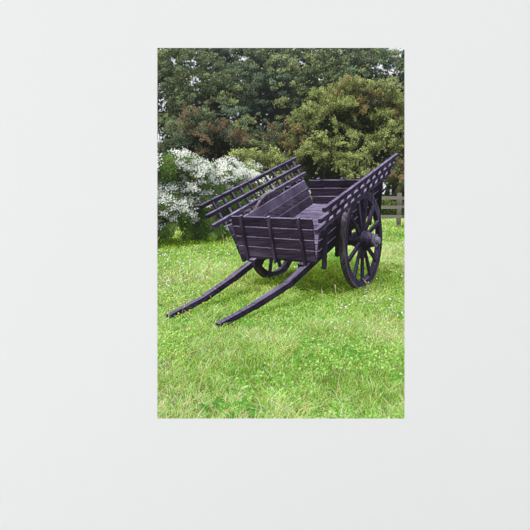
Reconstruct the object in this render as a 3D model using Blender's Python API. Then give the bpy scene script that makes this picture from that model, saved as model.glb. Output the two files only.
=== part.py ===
"""A rectangular self-adhesive wall mural, laid flat as it hangs: one thin sheet of printed film.

The sheet stands upright, with +Z up. Its printed face looks along -Y, and its adhesive back lies in the
plane y = 0, which is the wall. The origin is the middle of the back. Lengths are in metres.
"""

import math

import bpy

WIDTH = 0.9144  # 36 inches
HEIGHT = 1.3716  # 54 inches, so the sheet is two wide to three tall
THICKNESS = 0.0006
CORNER_RADIUS = 0.002  # the cutter's blade turns the corners this tightly
CORNER_STEPS = 6  # straight lengths in each quarter-round corner
FACE_BEVEL = 0.0001  # the cut rounds the sheet's long edges over by this much

FILM_COLOUR = (0.135, 0.191, 0.072, 1.0)  # the print's mean colour, linear
FILM_ROUGHNESS = 0.62

COLLECTION_NAME = "wall_mural"
SHEET_NAME = "mural_sheet"


def clear_scene():
    """Remove every object of the start-up scene."""
    for old in list(bpy.data.objects):
        bpy.data.objects.remove(old, do_unlink=True)


def rounded_rectangle(width, height, radius, steps):
    """Return the outline's points, anticlockwise from the right-hand side of the top right corner."""
    points = []
    corner_signs = ((1, 1), (-1, 1), (-1, -1), (1, -1))
    for quarter, (side, level) in enumerate(corner_signs):
        centre_x = side * (width / 2 - radius)
        centre_z = level * (height / 2 - radius)
        for step in range(steps + 1):
            angle = (quarter + step / steps) * math.pi / 2
            points.append((centre_x + radius * math.cos(angle), centre_z + radius * math.sin(angle)))
    return points


def film_material():
    """Return the matt printed film's finish."""
    material = bpy.data.materials.new("printed_film")
    material.use_nodes = True
    shader = material.node_tree.nodes["Principled BSDF"]
    shader.inputs["Base Color"].default_value = FILM_COLOUR
    shader.inputs["Roughness"].default_value = FILM_ROUGHNESS
    shader.inputs["Metallic"].default_value = 0.0
    return material


def make_sheet(collection):
    """Build the sheet as a flat outline with a thickness, stood upright with its back on the wall."""
    outline = bpy.data.curves.new(SHEET_NAME, "CURVE")
    outline.dimensions = "2D"
    outline.fill_mode = "BOTH"
    # A bevel grows the outline and the thickness by its own depth, so both start smaller by it.
    outline.bevel_depth = FACE_BEVEL
    outline.bevel_resolution = 0
    outline.offset = -FACE_BEVEL
    outline.extrude = THICKNESS / 2 - FACE_BEVEL

    points = rounded_rectangle(WIDTH, HEIGHT, CORNER_RADIUS, CORNER_STEPS)
    edge = outline.splines.new("POLY")
    edge.points.add(len(points) - 1)
    for point, (x, z) in zip(edge.points, points):
        point.co = (x, z, 0.0, 1.0)
    edge.use_cyclic_u = True

    sheet = bpy.data.objects.new(SHEET_NAME, outline)
    sheet.rotation_euler = (math.pi / 2, 0.0, 0.0)
    sheet.location = (0.0, -THICKNESS / 2, 0.0)
    collection.objects.link(sheet)
    outline.materials.append(film_material())
    return sheet


def main():
    """Build the mural in a collection of its own."""
    clear_scene()
    collection = bpy.data.collections.new(COLLECTION_NAME)
    bpy.context.scene.collection.children.link(collection)
    make_sheet(collection)


main()
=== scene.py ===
"""A self-adhesive wall mural: one thin sheet of matt printed film, stuck flat on a pale wall.

The film and the adhesive on its back are the two pieces of the object. What is printed on the film is a
generic country scene: an old dark farm cart in a meadow, with a blossoming hedge, a rail fence and a wood.
The scene is worked out here as a small diorama of leaves, blades and boards, seen from one point and lit by
a cloudy sky, and its colours are kept on the corners of the film's fine mesh.
"""
import logging
import math
from dataclasses import astuple, dataclass, field
from enum import Enum
from typing import Any, Iterable, Sequence

import bpy
import numpy as np
import numpy.typing as npt
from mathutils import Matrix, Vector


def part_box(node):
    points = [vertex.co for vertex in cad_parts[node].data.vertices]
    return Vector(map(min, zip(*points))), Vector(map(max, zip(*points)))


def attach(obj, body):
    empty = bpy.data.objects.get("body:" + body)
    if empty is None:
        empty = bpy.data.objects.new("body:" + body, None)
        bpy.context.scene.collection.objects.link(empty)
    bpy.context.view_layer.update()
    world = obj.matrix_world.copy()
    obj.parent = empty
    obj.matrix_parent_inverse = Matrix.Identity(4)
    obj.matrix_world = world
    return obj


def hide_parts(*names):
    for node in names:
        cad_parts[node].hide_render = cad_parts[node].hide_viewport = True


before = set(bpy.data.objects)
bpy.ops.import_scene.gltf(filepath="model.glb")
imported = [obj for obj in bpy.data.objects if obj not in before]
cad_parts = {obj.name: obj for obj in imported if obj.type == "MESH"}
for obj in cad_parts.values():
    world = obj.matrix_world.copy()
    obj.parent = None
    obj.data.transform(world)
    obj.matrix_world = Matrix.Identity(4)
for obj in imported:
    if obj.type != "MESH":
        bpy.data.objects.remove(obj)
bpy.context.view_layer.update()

LOG = logging.getLogger("wall_mural")

Array = npt.NDArray[Any]
Rng = np.random.Generator
Pair = tuple[float, float]
Point = tuple[float, float, float]
RGB = tuple[float, float, float]
Timber = tuple[Array, float]  # a shape and how light it is
UP = np.array([0.0, 0.0, 1.0])

SHEET_NODE = "mural_sheet"
BODY = "root"
PRINT_ATTRIBUTE = "print_colour"
BAKE_MAP = "OFBake"

MESH_COLUMNS, MESH_ROWS = 252, 378  # the film's mesh; each of its faces carries two by two samples
GOLDEN_TURN = math.pi * (3 - math.sqrt(5))

HASH_MASK = 0x7FFFFFFF
HASH_COLUMN, HASH_ROW, HASH_SEED = 374761393, 668265263, 2147483647
HASH_MIX, HASH_END = 1274126177, 69069


# ---- Small helpers ---------------------------------------------------


def tone(display: Any) -> Array:
    """Turn display colours, with values from 0 to 255, into linear ones, with values from 0 to 1."""
    level = np.array(display, float) / 255
    return np.where(level <= 0.04045, level / 12.92, ((level + 0.055) / 1.055) ** 2.4)


def unit(vectors: Array) -> Array:
    """Return the vectors at length one."""
    return vectors / np.maximum(np.linalg.norm(vectors, axis=-1, keepdims=True), 1e-9)


def blend(first: Array, second: Array, share: Array) -> Array:
    """Mix two colours, with one share of the second for each row."""
    share = np.clip(share, 0, 1)[..., None]
    return first * (1 - share) + second * share


def points_at(x: Any, y: Any, z: Any = 0.0) -> Array:
    """Return points from their coordinates, any of which may be one value for all."""
    return np.stack(np.broadcast_arrays(x, y, z), -1)


def scatter(column: Array, row: Array, seed: int) -> Array:
    """Scatter even, repeatable values from 0 to 1 over a lattice.

    Args:
        column: The points' columns.
        row: The points' rows.
        seed: Which scatter of its kind.

    Returns:
        One value for each point.
    """
    value = column.astype(np.int64) * HASH_COLUMN + row.astype(np.int64) * HASH_ROW + seed * HASH_SEED
    value &= HASH_MASK
    value = ((value ^ (value >> 13)) * HASH_MIX) & HASH_MASK
    value = ((value ^ (value >> 16)) * HASH_END) & HASH_MASK
    return (value ^ (value >> 15)) / float(HASH_MASK)


def smooth_noise(x: Array, y: Array, seed: int) -> Array:
    """Return smooth lattice noise from 0 to 1.

    Args:
        x: First coordinate, in lattice steps.
        y: Second coordinate, in lattice steps.
        seed: Which noise of its kind.

    Returns:
        One value for each point.
    """
    column, row = np.floor(x), np.floor(y)
    across, down = x - column, y - row
    across, down = across * across * (3 - 2 * across), down * down * (3 - 2 * down)
    near = scatter(column, row, seed) * (1 - across) + scatter(column + 1, row, seed) * across
    far = scatter(column, row + 1, seed) * (1 - across) + scatter(column + 1, row + 1, seed) * across
    return near * (1 - down) + far * down


def cloudy_noise(x: Array, y: Array, seed: int, octaves: int = 4) -> Array:
    """Return noise from 0 to 1 that is summed over several sizes.

    Args:
        x: First coordinate, in steps of the largest size.
        y: Second coordinate, in steps of the largest size.
        seed: Which noise of its kind.
        octaves: How many sizes, each half of the last.

    Returns:
        One value for each point.
    """
    total, weight, share = np.zeros(np.shape(x)), 0.0, 1.0
    for octave in range(octaves):
        scale = 2**octave
        total += share * smooth_noise(x * scale, y * scale, seed + 17 * octave)
        weight += share
        share *= 0.55
    return total / weight


# ---- The printed scene: shapes ---------------------------------------


@dataclass(frozen=True)
class Viewpoint:
    """The printed picture's eye, at x = 0 and y = 0 of its own scene and looking level along +Y."""

    columns: int
    rows: int
    focal: float = 2.024  # in widths of the picture
    height: float = 1.35
    horizon: float = 0.38  # share of the picture's height above the horizon

    @property
    def reach(self) -> float:
        """The focal length in samples."""
        return self.focal * self.columns

    def project(self, points: Array) -> tuple[Array, Array, Array]:
        """Find where points lie in the picture.

        Args:
            points: Points of the scene.

        Returns:
            Each point's column, row and depth.
        """
        depth = points[..., 1]
        column = self.columns / 2 + self.reach * points[..., 0] / depth
        row = self.horizon * self.rows + self.reach * (self.height - points[..., 2]) / depth
        return column, row, depth

    def place(self, depth: Array) -> Array:
        """Find the points of the scene that the picture's samples show.

        Args:
            depth: Each sample's depth.

        Returns:
            One point for each sample.
        """
        row, column = np.mgrid[0 : self.rows, 0 : self.columns] + 0.5
        x = (column - self.columns / 2) * depth / self.reach
        z = self.height - (row - self.horizon * self.rows) * depth / self.reach
        return points_at(x, depth, z)

    def ground_depth(self) -> Array:
        """Find where the lines of sight meet the ground.

        Returns:
            Each sample's depth there, in rows and columns.
        """
        drop = np.arange(self.rows) + 0.5 - self.horizon * self.rows
        depth = np.where(drop > 0, self.height * self.reach / np.maximum(drop, 1e-6), np.inf)
        return np.broadcast_to(depth[:, None], (self.rows, self.columns))


@dataclass
class Shapes:
    """The triangles of the printed scene, with what each is made of."""

    parts: list[tuple[Array, ...]] = field(default_factory=list)

    def add(self, corners: Array, tones: Array, thin: float = 0.0, sheen: float = 0.0,
            grain: Sequence[float] = (0.0, 0.0, 0.0)) -> None:
        """Add triangles.

        Args:
            corners: The triangles, as n by 3 corners by 3 coordinates.
            tones: One linear colour, one for each triangle, or one for each first and second half.
            thin: How much light passes through, from 0 to 1.
            sheen: How much of the sky the surface mirrors.
            grain: The direction in which timber's grain runs.
        """
        count, tones = len(corners), np.asarray(tones, np.float32)
        if tones.ndim == 2 and 2 * len(tones) == count:
            tones = np.concatenate([tones, tones])
        grain = np.asarray(grain, np.float32)
        tones, lines = (np.broadcast_to(value, (count, 3)) for value in (tones, grain))
        thins, sheens = (np.full(count, value, np.float32) for value in (thin, sheen))
        self.parts.append((corners.astype(np.float32), tones, thins, sheens, lines))

    def joined(self) -> "Facets":
        """Join all triangles into whole arrays.

        Returns:
            The triangles, with their normals and areas.
        """
        corners, *finish = (np.concatenate(values) for values in zip(*self.parts))
        across = np.cross(corners[:, 1] - corners[:, 0], corners[:, 2] - corners[:, 0])
        return Facets(corners, *finish, unit(across), 0.5 * np.linalg.norm(across, axis=1))


@dataclass(frozen=True)
class Facets:
    """All triangles of the printed scene: corners, finish, normals and areas."""

    corners: Array
    tones: Array
    thin: Array
    sheen: Array
    grain: Array
    normals: Array
    areas: Array


def ribbon(low: Array, high: Array, wide: Array, slim: Array) -> Array:
    """Make a strip from each low to each high point, with half its width at both as a sideways step."""
    return np.concatenate([np.stack([low - wide, low + wide, high + slim], 1),
                           np.stack([low - wide, high + slim, high - slim], 1)])


def leaf_cards(rng: Rng, middles: Array, size: Array, facing: Array, slim: float) -> Array:
    """Make leaves, each folded a little along its midrib.

    Args:
        rng: Source of the leaves' turns.
        middles: The leaves' middles.
        size: Half of each leaf's length.
        facing: The way that each leaf faces.
        slim: Width as a share of length.

    Returns:
        Two triangles for each leaf, as all left halves and then all right halves.
    """
    along = unit(np.cross(facing, rng.normal(size=middles.shape)))
    across = np.cross(facing, along)
    half = np.broadcast_to(np.asarray(size), (len(middles),))[:, None]
    tip, stalk = middles + along * half, middles - along * half
    lift = facing * half * 0.12 - along * half * 0.15
    left, right = middles + across * half * slim + lift, middles - across * half * slim + lift
    return np.concatenate([np.stack([stalk, left, tip], 1), np.stack([stalk, tip, right], 1)])


def board(corner: Sequence[float], along: Sequence[float], across: Sequence[float], rise: Sequence[float],
          steps: int = 1) -> Array:
    """Make a board from one corner and its three edges.

    Args:
        corner: The corner that the edges start from.
        along: The edge that is cut into steps.
        across: The second edge.
        rise: The third edge.
        steps: How many lengths the board is cut into.

    Returns:
        The board's triangles.
    """
    start, length, width, depth = (np.asarray(edge, float) for edge in (corner, along, across, rise))
    faces: list[tuple[Array, Array, Array, Array]] = []
    for step in range(steps):
        first = start + length * (step / steps)
        low = [first, first + length / steps, first + length / steps + width, first + width]
        high = [point + depth for point in low]
        faces += [(low[3], low[2], low[1], low[0]), (high[0], high[1], high[2], high[3]),
                  (low[0], low[1], high[1], high[0]), (low[2], low[3], high[3], high[2])]
        if step == 0:
            faces.append((low[0], high[0], high[3], low[3]))
        if step == steps - 1:
            faces.append((low[1], low[2], high[2], high[1]))
    return halved(faces)


def halved(faces: Iterable[Sequence[Array]]) -> Array:
    """Return four-cornered faces as triangles."""
    return np.array([half for a, b, c, d in faces for half in ((a, b, c), (a, c, d))])


def beam(start: Sequence[float], end: Sequence[float], width: float, depth: float,
         upright: Sequence[float] = (0, 0, 1), steps: int = 4) -> Array:
    """Make a straight timber between two points.

    Args:
        start: Middle of one end.
        end: Middle of the other end.
        width: Size across the upright direction.
        depth: Size along the upright direction.
        upright: The direction that depth follows most closely.
        steps: How many lengths it is cut into.

    Returns:
        The timber's triangles.
    """
    first = np.asarray(start, float)
    along = np.asarray(end, float) - first
    side = unit(np.cross(along, upright)) * width
    rise = unit(np.cross(side, along)) * depth
    return board(first - side / 2 - rise / 2, along, side, rise, steps)


def turned(middle: Array, axis: Array, profile: Sequence[Pair], sides: int = 22) -> Array:
    """Make a turned solid such as a hub or a rim.

    Args:
        middle: A point on the axis.
        axis: The axis, at length one.
        profile: Pairs of the distance along the axis and the radius there.
        sides: How many sides it has.

    Returns:
        Its triangles.
    """
    level, turns = unit(np.cross(axis, UP)), np.linspace(0, 2 * np.pi, sides + 1)[:, None]
    ring = np.cos(turns) * level - np.sin(turns) * np.cross(level, axis)
    faces: list[tuple[Array, Array, Array, Array]] = []
    for (low, inner), (high, outer) in zip(profile, profile[1:]):
        first, second = middle + axis * low + ring * inner, middle + axis * high + ring * outer
        faces += [(first[i], first[i + 1], second[i + 1], second[i]) for i in range(sides)]
    return halved(faces)


def rim(middle: Array, axis: Array, radius: float, width: float, depth: float, sides: int = 72) -> Array:
    """Make a wheel's rim from its outer radius, its width along the axis and its depth inwards."""
    across, radii = np.array([1, -1, -1, 1, 1]) * width / 2, radius - np.array([0, 0, 1, 1, 0]) * depth
    return turned(middle, axis, list(zip(across, radii)), sides)


# ---- The printed scene: what stands in it ----------------------------


@dataclass
class Thing:
    """Something that stands in the printed scene, placed and shaped by its own source of chance."""

    shapes: Shapes  # where it goes
    seed: int = 0

    def __post_init__(self) -> None:
        """Start its source of chance."""
        self.rng = np.random.default_rng(self.seed)

    def build(self) -> None:
        """Add the thing to the scene."""
        raise NotImplementedError


class Herb(Enum):
    """The small flowers of the meadow: colour, count, height, size and where they gather."""

    DAISY = ((240, 240, 232), 420, 0.060, 0.010, 51)
    BUTTERCUP = ((236, 208, 60), 150, 0.085, 0.009, 57)


@dataclass(frozen=True)
class TurfBand:
    """A strip of turf: its depths, blades for each square metre, and their width and height."""

    near: float
    far: float
    density: float
    width: float
    height: float


@dataclass
class Meadow(Thing):
    """Grazed turf, with clover, dock and small flowers."""

    seed: int = 11
    half_view: float = 0.26  # half of the view's width at a depth of one
    edge: float = 0.1  # how far the meadow reaches past the view
    deep: RGB = (104, 154, 30)
    middle: RGB = (160, 196, 98)
    pale: RGB = (200, 213, 164)
    dry: RGB = (206, 198, 146)
    withered: RGB = (164, 128, 102)
    clover_tones: tuple[RGB, RGB] = ((102, 150, 56), (176, 211, 124))
    dock_tone: RGB = (92, 146, 62)
    glint: float = 0.36  # how much the shiniest blades whiten
    glint_tone: RGB = (0.92, 0.92, 0.96)
    wind: Pair = (0.12, -0.05)  # how the blades lean on the whole
    motley: float = 0.17  # how much the blades differ in hue
    clovers: int = 60_000  # tries, of which about a third find a patch
    docks: int = 34
    bents: int = 150  # tries, as for clover
    thin_blade: float = 0.45  # the share of light that passes through each
    thin_tip: float = 0.5
    thin_leaf: float = 0.3
    thin_stalk: float = 0.4
    bands: tuple[TurfBand, ...] = (
        TurfBand(2.55, 3.6, 11000, 0.0036, 0.034),
        TurfBand(3.6, 5.0, 7600, 0.0042, 0.036),
        TurfBand(5.0, 7.0, 4300, 0.0055, 0.040),
        TurfBand(7.0, 10.0, 2300, 0.0085, 0.048),
        TurfBand(10.0, 15.0, 900, 0.014, 0.060),
        TurfBand(15.0, 25.0, 300, 0.024, 0.08),
    )

    def build(self) -> None:
        """Add the whole meadow."""
        for band in self.bands:
            self._turf(band)
        self._clover()
        for _ in range(self.docks):
            self._dock()
        for herb in Herb:
            self._flowers(herb)
        self._bents()

    def _spots(self, depth: Array) -> Array:
        """Return a sideways place inside the view for each depth."""
        return (self.rng.random(len(depth)) * 2 - 1) * (self.half_view * depth + self.edge)

    def _turf(self, band: TurfBand) -> None:
        """Add one strip's blades, each a bent leaf of three triangles.

        Args:
            band: The strip.
        """
        rng, half = self.rng, self.half_view * band.far + self.edge
        count = int((band.far - band.near) * 2 * half * band.density)
        y = band.near + (band.far - band.near) * rng.random(count)
        x = (rng.random(count) * 2 - 1) * half
        seen = np.abs(x) < self.half_view * y + 0.12
        x, y = x[seen], y[seen]
        count = len(x)
        patch = cloudy_noise(x * 0.9 + 7, y * 0.55, 3)
        clump = np.clip((smooth_noise(x * 2.6, y * 1.7, 9) - 0.62) * 4, 0, 1)
        tuft = 0.6 * smooth_noise(x * 24, y * 15, 15) + 0.4 * smooth_noise(x * 55, y * 34, 16)
        tall = band.height * (0.45 + 0.9 * rng.random(count)) * (0.75 + 0.7 * patch) * (1 + 1.1 * clump)
        tall *= 0.35 + 1.3 * tuft
        lean = points_at(*(rng.normal(0, 0.85, (count, 2)) + self.wind).T)
        turn = rng.random(count) * np.pi
        side = points_at(np.cos(turn), np.sin(turn) * 0.6)
        side *= (band.width * (0.7 + 0.6 * rng.random(count)))[:, None]
        root = points_at(x, y)
        bend, tall = lean * tall[:, None], tall[:, None] * UP
        knee, tip = root + bend * 0.35 + tall * 0.6, root + bend * 1.15 + tall * 0.93
        fresh = patch * 1.5 - 0.25 + 0.35 * (smooth_noise(x * 9, y * 7, 5) - 0.5)
        fresh += rng.normal(0, 0.16, count)
        colour = blend(tone(self.deep), tone(self.middle), fresh * 2)
        colour = blend(colour, tone(self.pale), fresh * 2 - 1)
        dead = rng.random(count)
        colour[dead < 0.035 + 0.05 * (patch > 0.62)] = tone(self.dry)
        colour[dead > 0.975] = tone(self.withered)
        colour *= (0.80 + 0.24 * rng.random(count))[:, None]
        colour *= (0.80 + 0.34 * cloudy_noise(x * 2.1, y * 1.5, 13, 3) - 0.12 * clump)[:, None]
        colour *= (0.55 + 0.80 * tuft)[:, None] * rng.normal(1, self.motley, (count, 3))
        colour += (self.glint * rng.random(count) ** 7)[:, None] * self.glint_tone
        self.shapes.add(ribbon(root, knee, side * 0.6, side * 0.5), colour * 0.9, self.thin_blade)
        tips = np.stack([knee - side * 0.5, knee + side * 0.5, tip], 1)
        self.shapes.add(tips, colour * 1.08, self.thin_tip)

    def _clover(self) -> None:
        """Add round leaves low in the turf, in loose patches."""
        rng = self.rng
        y = 2.7 + 9 * rng.random(self.clovers) ** 1.3
        x = self._spots(y)
        grown = smooth_noise(x * 1.7, y * 1.2, 31) + 0.25 * smooth_noise(x * 19, y * 12, 32) > 0.62
        x, y = x[grown], y[grown]
        middles = points_at(x, y, 0.012 + 0.030 * rng.random(len(x)))
        facing = unit(rng.normal(0, 0.45, middles.shape) + [0, -0.3, 1])
        colour = blend(*tone(self.clover_tones), rng.random(len(x)) ** 2)
        colour *= 0.75 + 0.5 * rng.random((len(x), 1))
        size = 0.007 + 0.008 * rng.random(len(x))
        self.shapes.add(leaf_cards(rng, middles, size, facing, 0.8), colour, self.thin_leaf)

    def _dock(self) -> None:
        """Add one rosette of broad arching leaves."""
        rng = self.rng
        depth = 3.0 + 8 * rng.random() ** 1.3
        place = np.array([(rng.random() * 2 - 1) * 0.25 * depth, depth, 0.0])
        count = int(rng.integers(7, 15))
        turn = rng.random(count) * 2 * np.pi
        away = points_at(np.cos(turn), np.sin(turn))
        side = points_at(-np.sin(turn), np.cos(turn)) * (0.010 + 0.010 * rng.random((count, 1)))
        length = 0.07 + 0.09 * rng.random((count, 1))
        steep = 0.35 + 0.5 * rng.random((count, 1))
        colour = tone(self.dock_tone) * (0.8 + 0.5 * rng.random((count, 1)))
        colours = np.concatenate([colour, colour * 0.86])
        line = [place + away * (0.01 + length * t) + UP * length * steep * (1.9 * t - 1.6 * t * t)
                for t in (0, 0.3, 0.65, 1.0)]
        widths = (0.35, 1.0, 0.9, 0.0)
        for low, high, wide, slim in zip(line, line[1:], widths, widths[1:]):
            self.shapes.add(ribbon(low, high, side * wide, side * slim), colours, self.thin_leaf)

    def _flowers(self, herb: Herb) -> None:
        """Add one kind of small flower, in drifts.

        Args:
            herb: The kind.
        """
        rng, (colour, count, lift, size, seed) = self.rng, herb.value
        y = 3.0 + 13 * rng.random(count * 3) ** 1.2
        x = self._spots(y)
        grown = np.nonzero(smooth_noise(x * 0.8, y * 0.6, seed) > 0.55)[0][:count]
        x, y = x[grown], y[grown]
        middles = points_at(x, y, lift * (0.7 + 0.6 * rng.random(len(x))))
        facing = unit(rng.normal(0, 0.35, middles.shape) + [0, -0.5, 1])
        grow = size * (0.8 + 0.5 * rng.random(len(x))) * np.clip(y / 6, 1, 1.7)
        self.shapes.add(leaf_cards(rng, middles, grow, facing, 0.95), tone(colour), self.thin_leaf)

    def _bents(self) -> None:
        """Add tall dry stalks with small seed heads, which stand above the turf here and there."""
        rng = self.rng
        y = 3.2 + 9 * rng.random(self.bents) ** 1.3
        x = self._spots(y)
        grown = smooth_noise(x * 1.1, y * 0.8, 63) > 0.5
        x, y = x[grown], y[grown]
        count = len(x)
        root = points_at(x, y)
        side = points_at(0.0011 * np.clip(y / 4, 1, 2.2), 0.0)
        tall = UP * (0.14 + 0.16 * rng.random((count, 1)))
        lean = points_at(*rng.normal(0, 0.09, (count, 2)).T)
        knee, tip = root + tall * 0.6 + lean * 0.4, root + tall + lean
        colour = tone(self.dry) * (0.7 + 0.4 * rng.random((count, 1)))
        for low, high, wide in ((root, knee, 1.0), (knee, tip, 0.8)):
            self.shapes.add(ribbon(low, high, side * wide, side * 0.8), colour, self.thin_stalk)
        seed_heads = np.stack([tip - side * 2.6, tip + side * 2.6, tip + tall * 0.16 + lean * 0.3], 1)
        self.shapes.add(seed_heads, colour * 0.9, self.thin_stalk)


@dataclass(frozen=True)
class Foliage:
    """How a plant's leaves sit on its rounded clumps."""

    leaf: float  # half of a leaf's length
    cover: float  # leaves' area as a share of the clump's
    spread: float  # how deep into the clump they reach
    flat: float = 1.0  # a clump's height as a share of its width
    slim: float = 0.55
    odd: RGB = (132, 112, 72)  # the odd leaf that has turned
    odd_share: float = 0.04
    motley: float = 0.08  # how much the leaves differ in hue
    thin: float = 0.35
    hidden: float = 0.45  # leaves that face away by more than this are left out

    def add_to(self, shapes: Shapes, rng: Rng, middles: Array, radii: Array, tones: Array) -> None:
        """Cover clumps with leaves, leaving out those on the far side.

        Args:
            shapes: Where the leaves go.
            rng: Source of their places and turns.
            middles: The clumps' middles.
            radii: The clumps' radii.
            tones: The clumps' colours.
        """
        area = 4 * np.pi * radii**2
        each = np.maximum((area * self.cover / (self.leaf**2 * 1.1)).astype(int), 4)
        clump = np.repeat(np.arange(len(middles)), each)
        out = unit(rng.normal(size=(len(clump), 3)))
        seen = out[:, 1] < self.hidden
        clump, out = clump[seen], out[seen]
        count = len(clump)
        shell = 1 - self.spread * rng.random(count) ** 0.8 + 0.10 * rng.normal(size=count)
        place = middles[clump] + out * (radii[clump] * shell)[:, None] * [1, 1, self.flat]
        facing = unit(out * 0.8 + rng.normal(0, 0.6, (count, 3)) + [0, 0, 0.25])
        light = 0.78 + 0.44 * rng.random((count, 1))
        colour = tones[clump] * light * rng.normal(1, self.motley, (count, 3))
        odd = rng.random(count) < self.odd_share
        colour[odd] = tone(self.odd) * (0.7 + 0.5 * rng.random((int(odd.sum()), 1)))
        size = self.leaf * (0.7 + 0.6 * rng.random(count))
        shapes.add(leaf_cards(rng, place, size, facing, self.slim), colour, self.thin)


@dataclass(frozen=True)
class Twigs:
    """Arching twigs, leafy along their whole length, that give a crown its feathery outline."""

    leaf: float = 0.036  # half of a leaf's length
    per_metre: float = 88
    radius: float = 0.085  # how far the leaves stand off the twig
    droop: float = 0.32
    slim: float = 0.5
    motley: float = 0.08
    thin: float = 0.4
    wood: RGB = (116, 106, 88)
    wood_width: float = 0.014

    def add_to(self, shapes: Shapes, rng: Rng, roots: Array, ways: Array, lengths: Array,
               tones: Array) -> None:
        """Add the twigs and their leaves, which grow paler towards the tips.

        Args:
            shapes: Where they go.
            rng: Source of the leaves' places and turns.
            roots: Where the twigs start.
            ways: The way that each sets out.
            lengths: Their lengths.
            tones: Their leaves' colours.
        """
        twig = np.repeat(np.arange(len(roots)), (lengths * self.per_metre).astype(int))
        count = len(twig)
        share = rng.random(count) ** 0.85
        off = rng.normal(size=(count, 3)) * (self.radius * (1.1 - 0.75 * share))[:, None]
        place = self._along(roots[twig], ways[twig], lengths[twig], share) + off
        facing = unit(rng.normal(0, 0.6, (count, 3)) + unit(off) * 0.5 + [0, -0.35, 0.5])
        colour = tones[twig] * ((0.72 + 0.40 * share) * (0.80 + 0.40 * rng.random(count)))[:, None]
        colour *= rng.normal(1, self.motley, (count, 3))
        size = self.leaf * (0.6 + 0.8 * rng.random(count)) * (1.15 - 0.4 * share)
        shapes.add(leaf_cards(rng, place, size, facing, self.slim), colour, self.thin)
        line = [self._along(roots, ways, lengths, np.full(len(roots), end)) for end in (0.0, 0.5, 1.0)]
        wide = unit(np.cross(ways, [0.0, 1.0, 0.0])) * self.wood_width
        bark = tone(self.wood) * (0.5 + 0.7 * rng.random((len(roots), 1)))
        for start, end in zip(line, line[1:]):
            shapes.add(np.stack([start - wide, start + wide, end], 1), bark)

    def _along(self, roots: Array, ways: Array, lengths: Array, share: Array) -> Array:
        """Return the point at each share of the way along its twig."""
        reach = (lengths * share)[:, None]
        return roots + ways * reach - UP * self.droop * reach * share[:, None]


class Leafage(Enum):
    """The wood's leaf colours."""

    DARK = (93, 105, 73)
    BLUE = (92, 108, 84)
    OLIVE = (144, 156, 90)
    PALE = (166, 176, 112)
    RUST = (158, 108, 80)


@dataclass(frozen=True)
class Tree:
    """One tree or bush: place, height of the crown's middle, the crown's reach, lobes and colour."""

    x: float
    depth: float
    middle: float
    reach: tuple[float, float, float]
    lobes: int
    leafage: Leafage

    @property
    def is_near(self) -> bool:
        """Whether it stands in the wood's front row."""
        return self.depth < 30


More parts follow.
